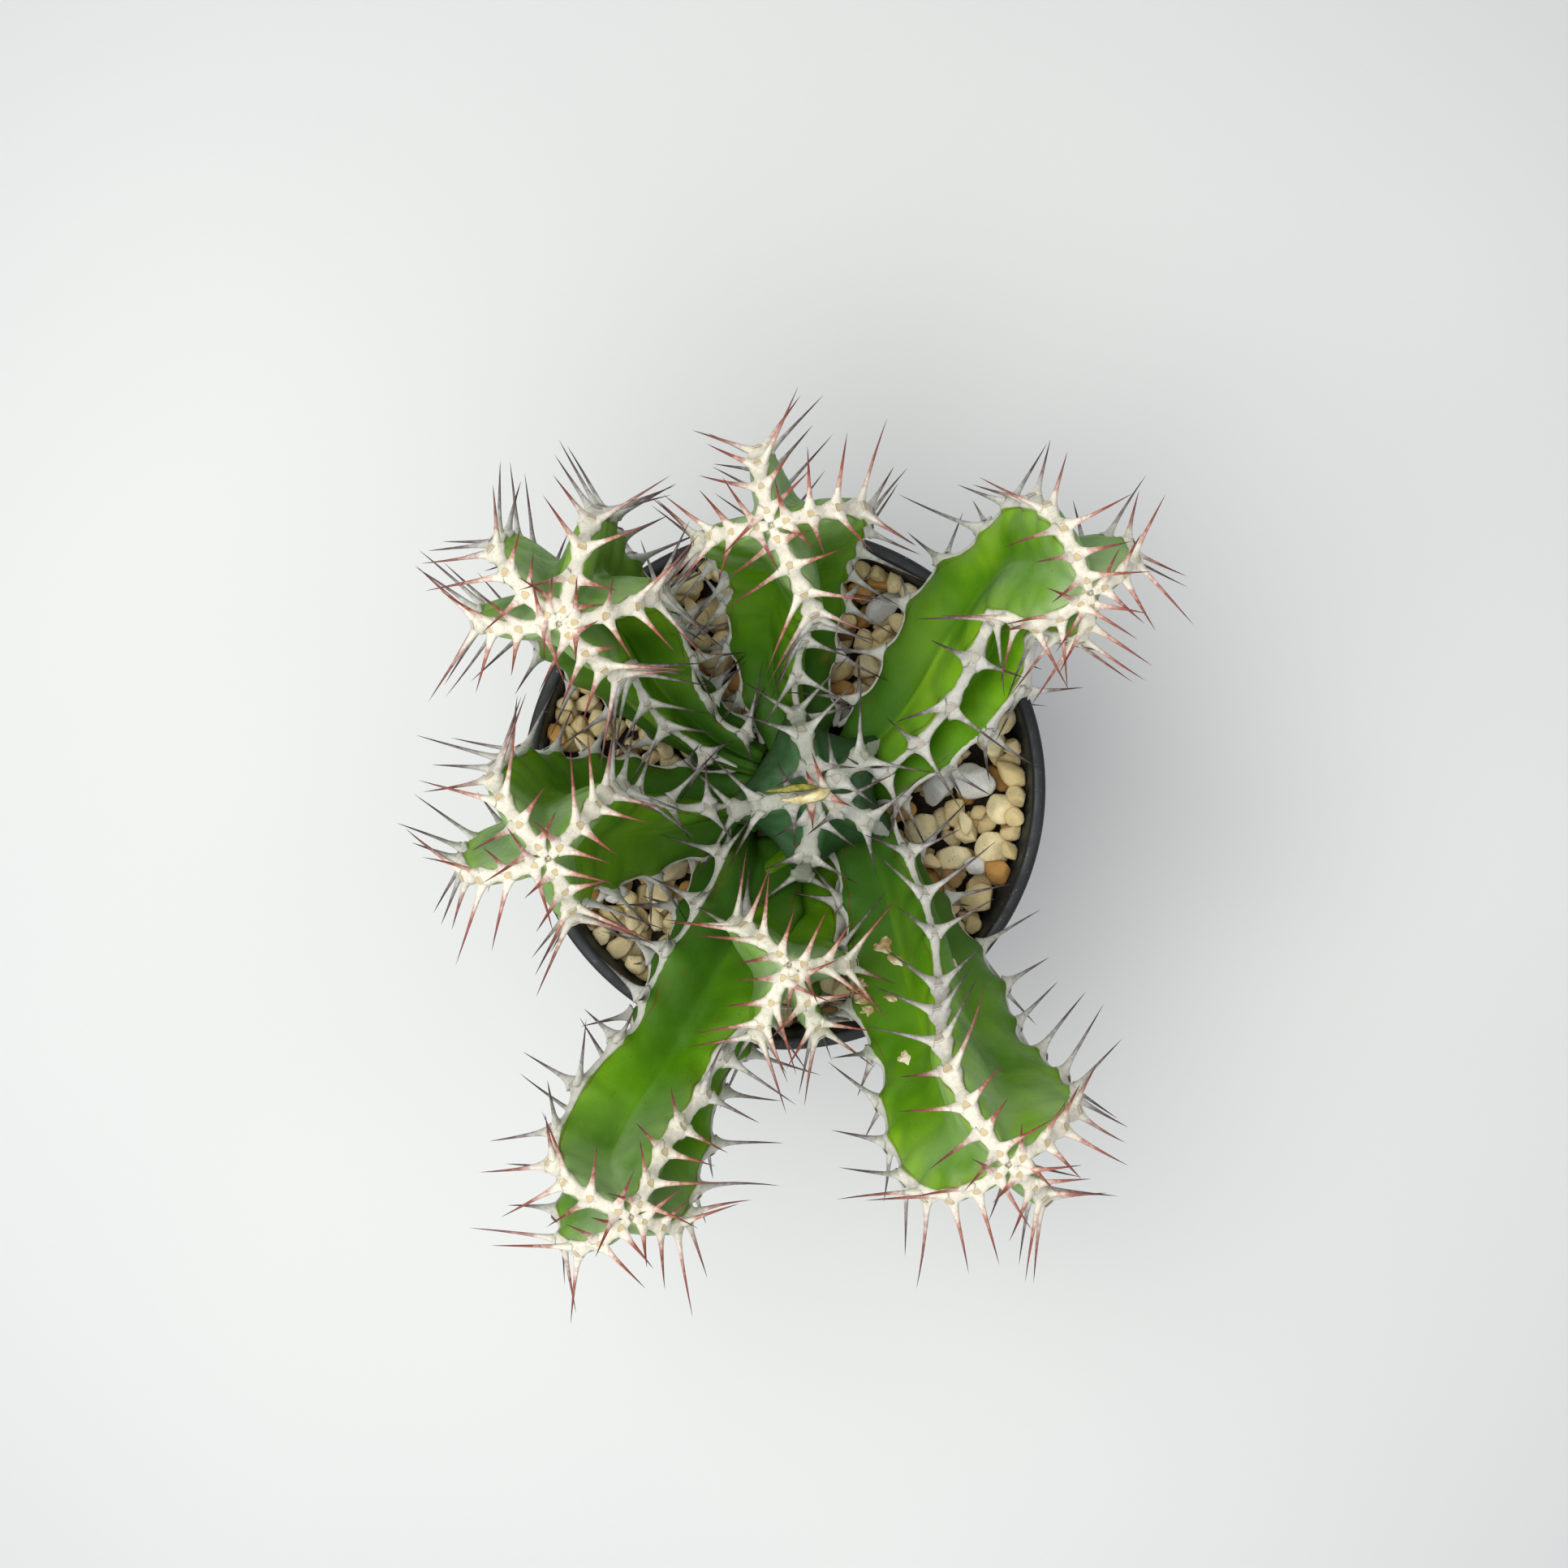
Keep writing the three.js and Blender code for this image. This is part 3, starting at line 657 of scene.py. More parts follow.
def curled_strip(name, path, widths, twist, thickness, material):
    """Closed thin strip along a path, turned about it from end to end."""
    path = np.array(path, float)
    t = np.linspace(0, 1, 22)
    knots = np.linspace(0, 1, len(path))
    line = np.stack([np.interp(t, knots, path[:, i]) for i in range(3)], -1)
    for _ in range(3):
        line[1:-1] = (line[:-2] + 2 * line[1:-1] + line[2:]) / 4
    width = np.interp(t, np.linspace(0, 1, len(widths)), widths)
    forward = unit(np.gradient(line, axis=0))
    flat = unit(np.cross(forward, (0, 0, 1)))
    up = np.cross(flat, forward)
    angle = np.radians(twist) * t
    edge = flat * np.cos(angle)[:, None] + up * np.sin(angle)[:, None]
    face = np.cross(edge, forward)
    ring = []
    for x, z in ((-1, 0), (-0.5, 1), (0.5, 1), (1, 0), (0.5, 0.2), (-0.5, 0.2)):
        crinkle = 0.12 * np.sin(t * 21 + x * 3)
        ring.append(line + edge * (x * width / 2)[:, None] + face * (z * thickness + crinkle)[:, None])
    verts = np.stack(ring, 1)
    rows, cols = verts.shape[:2]
    skin = Skin()
    skin.add(np.r_[verts.reshape(-1, 3), [verts[0].mean(0)], [verts[-1].mean(0)]], closed(rows, cols))
    return skin.build(name, material)


def apex_details(trunk):
    """Dried scrap and one small live leaf left at the trunk's growing tip."""
    tip = trunk.at(1.0)
    dry = plain_material("dried_scrap", (0.62, 0.50, 0.24), (0.80, 0.72, 0.46), 0.7)
    live = plain_material("small_leaf", (0.20, 0.19, 0.03), (0.36, 0.33, 0.07), 0.45)
    scrap = curled_strip(
        "apex_scrap", [tip + p for p in ((1.9, 0.5, 2.0), (0.2, -0.4, 3.4), (-2.6, -1.2, 2.9), (-5.9, -0.9, 3.8))],
        [0.8, 2.3, 2.0, 2.4, 0.5], 75, 0.45, dry,
    )
    leaf = curled_strip(
        "apex_leaf", [tip + p for p in ((0.2, 0.9, 1.6), (-2.6, 1.0, 2.8), (-5.2, 0.6, 3.2), (-8.4, 0.2, 2.4))],
        [0.5, 1.5, 1.3, 0.2], -35, 0.3, live,
    )
    return scrap, leaf


# Pot, mix and stones
def lathe(profile, sides):
    """Closed body of a profile of radii and heights turned about the z axis, with a middle point at each end."""
    turn = np.linspace(0, 2 * np.pi, sides, endpoint=False)
    profile = np.array(profile, float)
    ring = np.stack([np.outer(profile[:, 0], np.cos(turn)), np.outer(profile[:, 0], np.sin(turn)),
                     np.repeat(profile[:, 1:2], sides, 1)], -1)
    middle = [(0, 0, profile[0, 1]), (0, 0, profile[-1, 1])]
    return np.r_[ring.reshape(-1, 3), middle], closed(len(profile), sides)


def rounded(points, radius, steps=5):
    """Profile with each inner corner replaced by a small arc."""
    points = [np.array(p[:2], float) for p in points]
    result = [points[0]]
    for before, corner, after in zip(points, points[1:], points[2:]):
        reach = min(radius, 0.45 * np.linalg.norm(corner - before), 0.45 * np.linalg.norm(after - corner))
        start = corner + (before - corner) / np.linalg.norm(before - corner) * reach
        stop = corner + (after - corner) / np.linalg.norm(after - corner) * reach
        for k in np.linspace(0, 1, steps):
            result.append((1 - k) ** 2 * start + 2 * k * (1 - k) * corner + k * k * stop)
    result.append(points[-1])
    return result


def outer_radius(z):
    """Outer radius of the tapered wall below the rim."""
    return FOOT_RADIUS + (NECK_RADIUS - FOOT_RADIUS) * min(1, z / (POT_HEIGHT - RIM_DEPTH))


def make_pot(material):
    """Pot shell with a turned-over rim and drain holes."""
    shoulder = POT_HEIGHT - RIM_DEPTH
    low = outer_radius(FLOOR) - WALL
    corners = [
        (0.01, 0), (FOOT_RADIUS, 0), (NECK_RADIUS, shoulder), (RIM_RADIUS - 0.1, shoulder + 0.2),
        (RIM_RADIUS, POT_HEIGHT), (RIM_RADIUS - 2.2, POT_HEIGHT), (RIM_RADIUS - 2.6, POT_HEIGHT - 1.6),
        (NECK_RADIUS - WALL, shoulder - 2), (low, FLOOR), (0.01, FLOOR),
    ]
    skin = Skin()
    skin.add(*lathe(rounded(corners, POT_ROUNDING), POT_SIDES))
    pot = skin.build("pot_shell", material)
    cutter = Skin()
    for i in range(DRAIN_COUNT):
        turn = (i + 0.5) / DRAIN_COUNT * 2 * np.pi
        verts, faces = lathe([(DRAIN_RADIUS, -2), (DRAIN_RADIUS, FLOOR + 2)], DRAIN_SIDES)
        cutter.add(verts + (DRAIN_RING * math.cos(turn), DRAIN_RING * math.sin(turn), 0), faces)
    tool = cutter.build("drain_cutter", material)
    cut = pot.modifiers.new("drains", "BOOLEAN")
    cut.object = tool
    cut.solver = "EXACT"
    graph = bpy.context.evaluated_depsgraph_get()
    mesh = bpy.data.meshes.new_from_object(pot.evaluated_get(graph))
    pot.modifiers.clear()
    pot.data = mesh
    mesh.shade_smooth()
    bpy.data.objects.remove(tool)
    mesh.set_sharp_from_angle(angle=math.radians(SHARP_ANGLE))
    return pot


def make_mix(material, rng):
    """Fill of the pot: a rough top, then a side that follows the wall down to the floor."""
    profile = [(r, MIX_TOP) for r in np.linspace(0.3, MIX_REACH, MIX_RINGS)]
    profile += [(outer_radius(MIX_SHOULDER) - WALL - MIX_GAP, MIX_SHOULDER)]
    profile += [(outer_radius(FLOOR) - WALL - MIX_GAP, MIX_LOW)]
    verts, faces = lathe(profile, MIX_SIDES)
    top = MIX_RINGS * MIX_SIDES
    verts[:top, 2] += rng.normal(0, MIX_ROUGH, top)
    skin = Skin()
    skin.add(verts, faces)
    return skin.build("mix_fill", material)


def icosphere(level):
    mesh = bmesh.new()
    bmesh.ops.create_icosphere(mesh, subdivisions=level, radius=1)
    verts = np.array([v.co[:] for v in mesh.verts])
    faces = np.array([[v.index for v in f.verts] for f in mesh.faces])
    mesh.free()
    return verts, faces


# Stone colours
TAN = np.array([0.78, 0.61, 0.30])
CREAM = np.array([0.95, 0.82, 0.50])
ORANGE = np.array([0.58, 0.31, 0.09])
WHITE = np.array([0.78, 0.78, 0.75])
BROWN = np.array([0.36, 0.21, 0.09])

# Middle and size of stones given one by one: three white ones, then cream ones on the bare east side
BIG_STONES = (
    (26.5, 0.0, 71.0, 3.3), (33.2, 1.0, 71.2, 3.5), (8.3, -16.0, 71.0, 3.2), (35.8, 8.5, 71.4, 3.2),
    (36.4, -10.3, 71.2, 3.3), (37.9, -3.2, 71.6, 2.9), (29.6, -12.2, 70.8, 3.0), (24.0, -6.8, 70.6, 3.3),
)


def stone_tone(rng):
    draw = rng.random()
    if draw < 0.11:
        base = ORANGE
    elif draw < 0.15:
        base = BROWN
    elif draw < 0.17:
        base = WHITE
    else:
        base = TAN + (CREAM - TAN) * rng.random()
    return base * rng.uniform(0.8, 1.05)


def bed_stones(stems, rng):
    """Low stones on the mix that close the gaps between the upper ones on the open east side."""
    bed = []
    for _ in range(BED_TRIES):
        size = rng.uniform(*BED_SIZES)
        reach = math.sqrt(rng.random()) * (STONE_REACH - size)
        turn = rng.random() * 2 * math.pi
        x, y = reach * math.cos(turn), reach * math.sin(turn)
        z = MIX_TOP + size * 0.6
        if x < BED_WEST or any(math.hypot(x - bx, y - by) < 0.8 * (size + br) for bx, by, _, br in bed):
            continue
        if min(stem.clearance(np.array([[x, y, z]]))[0] for stem in stems) > size * 0.3:
            bed.append((x, y, z, size))
    return bed


def make_stones(material, stems, rng):
    """Drops stones one by one on the mix and the stones below, then cuts each ball to a worn pebble."""
    ball, ball_faces = icosphere(3)
    placed = list(BIG_STONES)
    tones = [WHITE * 0.88, WHITE * 1.1, WHITE * (1.06, 0.98, 0.94)]
    tones += [CREAM] * (len(placed) - len(tones))
    bed = bed_stones(stems, rng)
    placed += bed
    tones += [stone_tone(rng) for _ in bed]
    tries = 0
    while len(placed) < STONE_COUNT and tries < STONE_TRIES:
        tries += 1
        px, py, pz, pr = np.array(placed).T
        size = rng.choice(STONE_SIZES, p=STONE_SHARES) * rng.uniform(0.92, 1.08)
        best = None
        by_wall = rng.random() < WALL_SHARE
        for _ in range(9):
            reach = (1.02 if by_wall else math.sqrt(rng.random())) * (STONE_REACH - size)
            turn = rng.random() * 2 * math.pi
            x, y = reach * math.cos(turn), reach * math.sin(turn)
            flat = np.hypot(x - px, y - py)
            touch = (pr + size) * STONE_TOUCH
            rest = np.where(flat < touch, pz + np.sqrt(np.maximum(0, touch**2 - flat**2)) * STONE_SINK, 0)
            z = max(MIX_TOP + size * 0.35, rest.max())
            if best is None or z < best[2]:
                best = (x, y, z, size)
        x, y, z, size = best
        if z + size * 0.75 > (WALL_STONE_TOP if by_wall else STONE_TOP + 0.4):
            continue
        point = np.array([[x, y, z]])
        if min(stem.clearance(point)[0] for stem in stems) < size * 0.3:
            continue
        placed.append(best)
        tones.append(stone_tone(rng))
    skin = Skin()
    for i, ((x, y, z, size), tone) in enumerate(zip(placed, tones)):
        longest = 1.15 if i < len(BIG_STONES) else 1.5
        verts = ball.copy()
        for _ in range(STONE_CUTS):
            cut = unit(rng.normal(size=3))
            reach = rng.uniform(0.56, 0.9)
            over = np.maximum(0, verts @ cut - reach)
            verts -= cut * (over * 0.93)[:, None]
        axis = unit(rng.normal(size=3))
        verts *= 1 + 0.05 * np.sin(verts @ (axis * 3.1) + rng.uniform(0, 6))[:, None]
        verts *= size * np.array([rng.uniform(1.05, longest), rng.uniform(0.88, 1.08), rng.uniform(0.72, 0.9)])
        tilt = rng.uniform(-0.4, 0.4)
        spin = rng.uniform(0, 2 * np.pi)
        c, s = math.cos(tilt), math.sin(tilt)
        verts = verts @ np.array([[1, 0, 0], [0, c, -s], [0, s, c]])
        c, s = math.cos(spin), math.sin(spin)
        verts = verts @ np.array([[c, -s, 0], [s, c, 0], [0, 0, 1]])
        verts = verts + (x, y, z)
        reach = np.hypot(verts[:, 0], verts[:, 1])
        room = STONE_REACH + WALL_LEAN * np.maximum(0, verts[:, 2] - (POT_HEIGHT - RIM_DEPTH - 2))
        verts[:, :2] *= np.minimum(1, room / np.maximum(reach, 1e-6))[:, None]
        skin.add(verts, [ball_faces], tone=tone)
    return skin.build("grit_stones", material)


# Materials
class Nodes:
    """Short calls that add nodes to one procedural material."""

    def __init__(self, name):
        self.material = bpy.data.materials.new(name)
        self.material.use_nodes = True
        self.tree = self.material.node_tree
        self.shader = self.tree.nodes["Principled BSDF"]

    def node(self, kind, **settings):
        node = self.tree.nodes.new(kind)
        for key, value in settings.items():
            if key.startswith("in_"):
                node.inputs[key[3:].replace("_", " ")].default_value = value
            else:
                setattr(node, key, value)
        return node

    def link(self, a, b):
        self.tree.links.new(a, b)

    def feed(self, socket, value):
        """Sets a socket to a number or a colour, or links it."""
        if isinstance(value, (int, float)):
            socket.default_value = value
        elif isinstance(value, tuple):
            socket.default_value = (*value, 1)
        else:
            self.link(value, socket)

    def number(self, name, output="Fac"):
        return self.node("ShaderNodeAttribute", attribute_name=name).outputs[output]

    def place(self):
        return self.node("ShaderNodeTexCoord").outputs["Object"]

    def noise(self, scale, detail=3.0, rough=0.55, distort=0.0):
        node = self.node(
            "ShaderNodeTexNoise", in_Scale=scale, in_Detail=detail, in_Roughness=rough, in_Distortion=distort,
        )
        self.link(self.place(), node.inputs["Vector"])
        return node.outputs["Fac"]

    def cells(self, scale):
        node = self.node("ShaderNodeTexVoronoi", in_Scale=scale)
        self.link(self.place(), node.inputs["Vector"])
        return node.outputs["Distance"]

    def ramp(self, value, *stops):
        node = self.node("ShaderNodeValToRGB")
        elements = node.color_ramp.elements
        while len(elements) < len(stops):
            elements.new(0.5)
        for element, (place, colour) in zip(elements, stops):
            element.position = place
            element.color = (*colour, 1) if isinstance(colour, tuple) else (colour, colour, colour, 1)
        self.link(value, node.inputs["Fac"])
        return node.outputs["Color"]

    def span(self, value, low, high, out_low=0.0, out_high=1.0):
        node = self.node("ShaderNodeMapRange", clamp=True, interpolation_type="SMOOTHSTEP")
        self.link(value, node.inputs["Value"])
        for key, number in (("From Min", low), ("From Max", high), ("To Min", out_low), ("To Max", out_high)):
            node.inputs[key].default_value = number
        return node.outputs["Result"]

    def math(self, kind, a, b):
        node = self.node("ShaderNodeMath", operation=kind)
        for socket, value in zip(node.inputs, (a, b)):
            self.feed(socket, value)
        return node.outputs[0]

    def times(self, a, b):
        return self.math("MULTIPLY", a, b)

    def mix(self, share, a, b, kind="MIX"):
        node = self.node("ShaderNodeMix", data_type="RGBA", blend_type=kind)
        for socket, value in ((node.inputs[0], share), (node.inputs[6], a), (node.inputs[7], b)):
            self.feed(socket, value)
        return node.outputs[2]

    def bump(self, height, strength, distance, before=None):
        node = self.node("ShaderNodeBump", in_Strength=strength, in_Distance=distance)
        self.link(height, node.inputs["Height"])
        if before is not None:
            self.link(before, node.inputs["Normal"])
        return node.outputs["Normal"]

    def finish(self, colour, roughness, normal=None, **sockets):
        for key, value in (("Base Color", colour), ("Roughness", roughness), ("Normal", normal)):
            if value is not None:
                self.feed(self.shader.inputs[key], value)
        for key, value in sockets.items():
            self.shader.inputs[key.replace("_", " ")].default_value = value
        return self.material


def flesh_material(name, deep, mid, pale, glaucous, bloom_level):
    """Green skin: lime patches, pale rims that are partly a painted highlight beside the ridges, waxy bloom,
    grey-green tips, painted shade below the teeth, darker aged parts that are partly painted shade near the trunk,
    rust, freckles and scars.
    """
    n = Nodes(name)
    edge = n.number("edge")
    age = n.number("age")
    tint = n.number("tint")
    fold = n.number("fold")
    broad = n.math("ADD", n.noise(48, 3, 0.6), n.times(tint, 0.16))
    body = n.mix(n.span(broad, 0.38, 0.66), deep, mid)
    lit = n.times(n.span(n.noise(36, 3, 0.6), 0.42, 0.66), n.span(tint, 0.0, 0.8, 0.15, 0.95))
    body = n.mix(lit, body, pale)
    # Pale yellow-green within a few millimetres of the margins: partly the skin's real lighter edges, partly a
    # painted highlight along the ridges
    rim_noise = n.math("ADD", edge, n.span(n.noise(160, 3), 0.3, 0.7, -1.6, 1.6))
    pale_rim_and_highlight = n.times(n.span(rim_noise, 0.2, 5.0, 1.0, 0.0), n.span(tint, 0.0, 0.5, 0.3, 0.6))
    body = n.mix(n.times(pale_rim_and_highlight, n.span(age, 32, 58, 1.0, 0.0)), body, pale)
    # Painted shade: darker green in the hollow below each tooth
    body = n.mix(n.times(n.span(fold, 0.15, 0.9), 0.30), body, deep)
    bloom = n.times(n.span(n.noise(70, 4, 0.65), 0.45, 0.66), bloom_level)
    body = n.mix(bloom, body, glaucous)
    tip = n.times(n.span(age, 2, 34, 0.9, 0.0), n.span(n.noise(60, 3), 0.32, 0.58))
    body = n.mix(tip, body, (0.30, 0.42, 0.20))
    streak = n.times(n.span(n.noise(170, 5, 0.75, 0.6), 0.55, 0.72), 0.22)
    body = n.mix(streak, body, deep)
    # Darker skin low on the stems: partly real aged skin, partly painted shade where the arms crowd the trunk
    old = n.times(n.span(age, 38, 85), n.span(n.noise(40, 2), 0.2, 0.6, 0.55, 0.9))
    body = n.mix(old, body, tuple(0.8 * c for c in deep[:2]) + (0.012,))
    rust = n.times(n.span(edge, 0.0, 3.5, 1.0, 0.0), n.span(n.noise(110, 4, 0.7), 0.56, 0.7))
    body = n.mix(n.times(rust, 0.35), body, (0.20, 0.13, 0.01))
    freckle = n.span(n.cells(900), 0.05, 0.16, 0.6, 0.0)
    freckle = n.times(freckle, n.span(n.noise(300, 2), 0.5, 0.62))
    body = n.mix(freckle, body, (0.03, 0.05, 0.005))
    blotch = n.times(n.span(n.noise(240, 4, 0.7), 0.68, 0.74), 0.6)
    body = n.mix(blotch, body, (0.16, 0.07, 0.02))
    body = n.mix(n.span(age, 1.6, 4.2, 1.0, 0.0), body, (0.56, 0.53, 0.38))
    line = n.times(n.span(edge, -0.05, 0.1), n.span(edge, 0.22, 0.5, 1.0, 0.0))
    line = n.times(line, n.span(n.noise(130, 3), 0.4, 0.62, 0.1, 0.7))
    body = n.mix(line, body, (0.11, 0.045, 0.010))
    fine = n.noise(3200, 2, 0.5)
    grain = n.noise(900, 3, 0.6)
    normal = n.bump(grain, 0.25, 0.00025)
    normal = n.bump(fine, 0.4, 0.00010, normal)
    rough = n.span(grain, 0.3, 0.7, 0.38, 0.56)
    return n.finish(body, rough, normal, Specular_IOR_Level=0.13)


def horn_material(name, cream, grey, aged):
    """Cream to grey horn with stains, dark-tipped spines and ringed leaf scars."""
    n = Nodes(name)
    young = n.number("young")
    spine = n.number("spine")
    eye = n.number("eye")
    mottled = n.noise(420, 4, 0.65)
    cloud = n.noise(1300, 5, 0.75)
    fresh = n.math("ADD", young, n.span(mottled, 0.3, 0.7, -0.25, 0.25))
    base = n.mix(n.span(fresh, 0.1, 0.8), grey, cream)
    stain = n.times(n.span(n.noise(700, 4, 0.7), 0.56, 0.72), aged)
    base = n.mix(stain, base, (0.24, 0.21, 0.18))
    base = n.mix(n.span(cloud, 0.4, 0.7, 0.0, 0.35), base, tuple(0.55 * c for c in grey))
    dots = n.times(n.span(n.cells(1100), 0.04, 0.13, 0.9, 0.0), n.span(n.noise(500, 2), 0.46, 0.56))
    base = n.mix(dots, base, (0.09, 0.06, 0.04))
    streak = n.span(n.noise(900, 3, 0.6, 0.4), 0.3, 0.7, -0.10, 0.10)
    place = n.math("ADD", spine, streak)
    red = n.ramp(
        place, (0.14, (0.76, 0.70, 0.60)), (0.32, (0.52, 0.30, 0.24)), (0.52, (0.28, 0.075, 0.05)),
        (0.95, (0.075, 0.014, 0.014)),
    )
    dull = n.ramp(
        place, (0.12, (0.52, 0.51, 0.47)), (0.34, (0.26, 0.245, 0.235)), (0.58, (0.10, 0.07, 0.068)),
        (0.90, (0.014, 0.008, 0.008)),
    )
    spike = n.mix(n.span(young, 0.3, 0.8), dull, red)
    body = n.mix(n.span(spine, 0.05, 0.16), base, spike)
    scar = n.mix(n.span(young, 0.2, 0.8), (0.42, 0.39, 0.33), (0.60, 0.47, 0.26))
    body = n.mix(n.span(eye, 0.5, 0.8), body, scar)
    ring = n.times(n.span(eye, 0.12, 0.35), n.span(eye, 0.45, 0.8, 1.0, 0.0))
    body = n.mix(n.times(ring, 0.7), body, (0.20, 0.13, 0.08))
    normal = n.bump(mottled, 0.35, 0.0003)
    normal = n.bump(n.noise(2600, 3), 0.3, 0.00012, normal)
    rough = n.span(spine, 0.1, 0.6, 0.62, 0.38)
    return n.finish(body, rough, normal, Specular_IOR_Level=0.4)


def flakes(body, spots, material, rng):
    """Thin corky flakes that lie on the flesh below given places."""
    mesh = body.data
    tree = BVHTree.FromPolygons([v.co[:] for v in mesh.vertices], [p.vertices[:] for p in mesh.polygons])
    skin = Skin()
    sides = 12
    for x, y, size in spots:
        hit, normal, _, _ = tree.ray_cast((x * MM, y * MM, 0.3), (0, 0, -1))
        if hit is None:
            continue
        centre = np.array(hit) / MM
        normal = np.array(normal)
        e1 = unit(np.cross(normal, (0.3, 1.0, 0.1)))
        e2 = np.cross(normal, e1)
        turn = np.linspace(0, 2 * np.pi, sides, endpoint=False) + rng.random()
        reach = size * rng.uniform(0.55, 1.15, sides)
        rim = centre + e1 * (np.cos(turn) * reach)[:, None] + e2 * (np.sin(turn) * reach * 0.6)[:, None]
        curl = rng.uniform(0.05, 0.45, sides)[:, None]
        verts = np.r_[
            rim + normal * (curl + 0.14), rim + normal * (curl - 0.3), [centre + normal * 0.3],
            [centre - normal * 0.2],
        ]
        ring = np.arange(sides)
        wall = np.stack([ring + sides, np.roll(ring, -1) + sides, np.roll(ring, -1), ring], -1)
        skin.add(verts, [wall, fan(2 * sides, ring), fan(2 * sides + 1, ring + sides, flip=True)])
    return skin.build("corky_flakes", material, shade_smooth=False)


def plain_material(name, dark, light, roughness, scale=900):
    n = Nodes(name)
    body = n.mix(n.span(n.noise(scale, 4, 0.65), 0.42, 0.62), dark, light)
    return n.finish(body, roughness, n.bump(n.noise(1500, 3), 0.5, 0.0002), Specular_IOR_Level=0.3)


def stone_material():
    n = Nodes("pumice_stone")
    tone = n.number("tone", "Color")
    shade = n.span(n.noise(260, 5, 0.65), 0.3, 0.7, 0.78, 1.0)
    body = n.mix(1.0, tone, n.ramp(shade, (0.0, 0.0), (1.0, 1.0)), "MULTIPLY")
    # Painted shade: small dark brown spots stand for the shade inside the stones' pores
    pore_shade = n.span(n.cells(1500), 0.08, 0.3, 0.5, 0.0)
    body = n.mix(n.times(pore_shade, n.span(n.noise(600, 2), 0.45, 0.6)), body, (0.10, 0.06, 0.03))
    normal = n.bump(n.noise(700, 5, 0.7), 0.5, 0.0005)
    normal = n.bump(n.cells(1700), 0.25, 0.0002, normal)
    return n.finish(body, 0.85, normal, Specular_IOR_Level=0.25)


def mix_material():
    n = Nodes("potting_mix")
    body = n.ramp(n.noise(800, 5, 0.7), (0.35, (0.008, 0.006, 0.004)), (0.7, (0.05, 0.035, 0.02)))
    return n.finish(body, 0.95, n.bump(n.noise(600, 5, 0.7), 0.8, 0.001))


def pot_material():
    n = Nodes("black_plastic")
    haze = n.noise(45, 4, 0.6)
    body = n.mix(n.span(haze, 0.3, 0.75), (0.010, 0.0125, 0.014), (0.021, 0.026, 0.029))
    dust = n.times(n.span(n.noise(1400, 2), 0.66, 0.72), n.span(n.noise(60, 2), 0.4, 0.6, 0.1, 0.5))
    body = n.mix(dust, body, (0.35, 0.33, 0.29))
    scuff = n.node("ShaderNodeTexNoise", in_Scale=300, in_Detail=3.0)
    stretch = n.node("ShaderNodeMapping")
    stretch.inputs["Scale"].default_value = (1, 1, 0.06)
    n.link(n.place(), stretch.inputs["Vector"])
    n.link(stretch.outputs["Vector"], scuff.inputs["Vector"])
    rough = n.span(scuff.outputs["Fac"], 0.35, 0.7, 0.42, 0.60)
    normal = n.bump(n.noise(2200, 2), 0.12, 0.00015)
    return n.finish(body, rough, normal, Specular_IOR_Level=0.35)


def floor_material():
    n = Nodes("pale_floor")
    body = n.mix(n.span(n.noise(6, 2), 0.3, 0.7), (0.660, 0.672, 0.670), (0.680, 0.690, 0.685))
    # Painted shade: the floor turns darker away from the middle, standing in for light falling off towards the
    # corners
    far = n.node("ShaderNodeVectorMath", operation="LENGTH")
    n.link(n.place(), far.inputs[0])
    body = n.mix(n.span(far.outputs["Value"], 0.10, 0.30), body, (0.52, 0.535, 0.54))
    return n.finish(body, 0.75, n.bump(n.noise(900, 2), 0.05, 0.0002), Specular_IOR_Level=0.2)


# Build the pieces
stems = [Stem(name, **spec) for name, spec in STEMS.items()]
rng = np.random.default_rng(4181)

arm_skin = flesh_material(
    "arm_flesh", (0.042, 0.135, 0.001), (0.085, 0.240, 0.002), (0.21, 0.42, 0.012), (0.24, 0.36, 0.15), 0.10,
)
trunk_skin = flesh_material(
    "trunk_flesh", (0.026, 0.070, 0.028), (0.056, 0.155, 0.064), (0.10, 0.23, 0.08), (0.17, 0.30, 0.19), 0.5,
)
horn = horn_material("arm_horn", (0.77, 0.73, 0.60), (0.52, 0.51, 0.46), 0.3)
horn_old = horn_material("trunk_horn", (0.60, 0.60, 0.54), (0.44, 0.45, 0.39), 0.5)


def keep(piece, slot, *nodes):
    """Binds a piece to the body and hides the CAD nodes that it stands for."""
    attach(piece, "root")
    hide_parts(*nodes)


bodies = {}
for stem in stems:
    is_trunk = stem.name == "trunk"
    body = flesh(stem, trunk_skin if is_trunk else arm_skin)
    bodies[stem.name] = body
    keep(body, "trunk_skin" if is_trunk else "arm_skin", stem.name)
    edge = margins(stem, stems, horn_old if is_trunk else horn)
    keep(edge, "horn_old" if is_trunk else "horn", stem.name + "_spines")

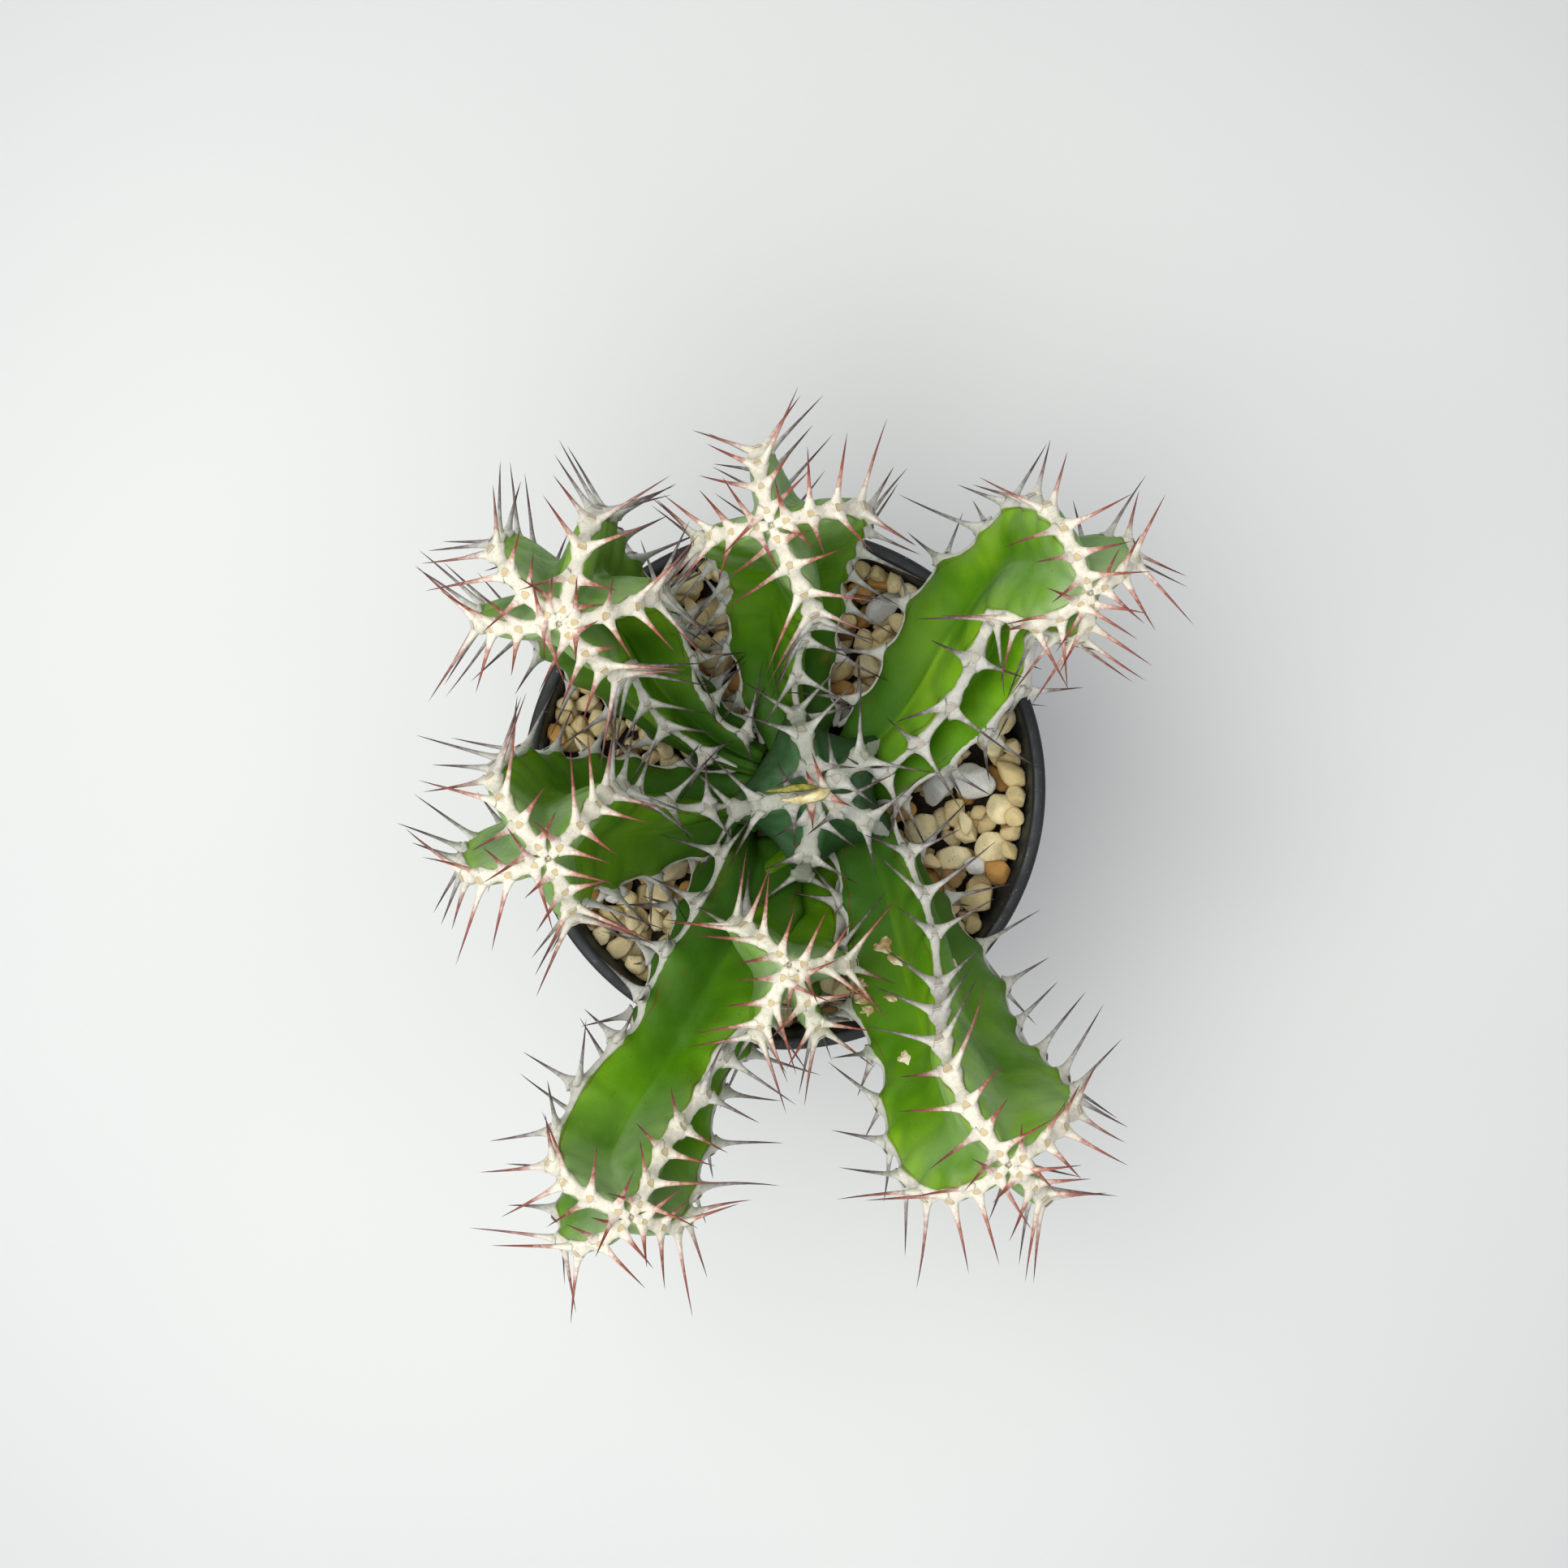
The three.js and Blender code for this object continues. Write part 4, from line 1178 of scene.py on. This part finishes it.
scrap, leaf = apex_details(stems[0])
cork_skin = plain_material("cork", (0.34, 0.19, 0.05), (0.82, 0.76, 0.56), 0.8, scale=190)
cork = flakes(bodies["arm_southeast"], FLAKES, cork_skin, rng)
for piece in (scrap, leaf, cork):
    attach(piece, "root")

keep(make_pot(pot_material()), "pot_plastic", "pot")
keep(make_mix(mix_material(), rng), "potting_mix", "potting_mix")
keep(make_stones(stone_material(), stems, rng), "pumice", "top_dressing")

# Floor, light and camera, in metres
floor_mesh = bpy.data.meshes.new("floor")
floor_mesh.from_pydata([(-4, -4, 0), (4, -4, 0), (4, 4, 0), (-4, 4, 0)], [], [(0, 1, 2, 3)])
floor = bpy.data.objects.new("floor", floor_mesh)
floor_mesh.materials.append(floor_material())
bpy.context.scene.collection.objects.link(floor)

world = bpy.data.worlds.new("studio")
world.use_nodes = True
world.node_tree.nodes["Background"].inputs["Color"].default_value = (0.965, 0.98, 1.0, 1)
world.node_tree.nodes["Background"].inputs["Strength"].default_value = 0.58
bpy.context.scene.world = world


def softbox(name, place, aim, size, power, colour):
    light = bpy.data.lights.new(name, "AREA")
    light.shape = "DISK"
    light.size = size
    light.energy = power
    light.color = colour
    lamp = bpy.data.objects.new(name, light)
    lamp.location = place
    way = np.array(aim) - np.array(place)
    yaw = math.atan2(way[1], way[0])
    pitch = math.atan2(math.hypot(way[0], way[1]), -way[2])
    lamp.rotation_euler = (pitch, 0, yaw - math.pi / 2)
    bpy.context.scene.collection.objects.link(lamp)


softbox("key", (-0.38, 0.02, 0.98), (-0.08, 0, 0.1), 0.85, 8.2, (1.0, 0.985, 0.95))
softbox("fill", (-0.12, -0.70, 0.85), (0, 0, 0.1), 1.0, 3.0, (0.98, 0.99, 1.0))

camera_data = bpy.data.cameras.new("camera")
camera_data.sensor_width = 36.0
camera_data.lens = 74.9
camera_data.clip_start = 0.01
camera_data.clip_end = 20
camera = bpy.data.objects.new("camera", camera_data)
camera.location = (0, 0.0007, 0.638)
bpy.context.scene.collection.objects.link(camera)
bpy.context.scene.camera = camera
bpy.context.scene.view_settings.view_transform = "Standard"
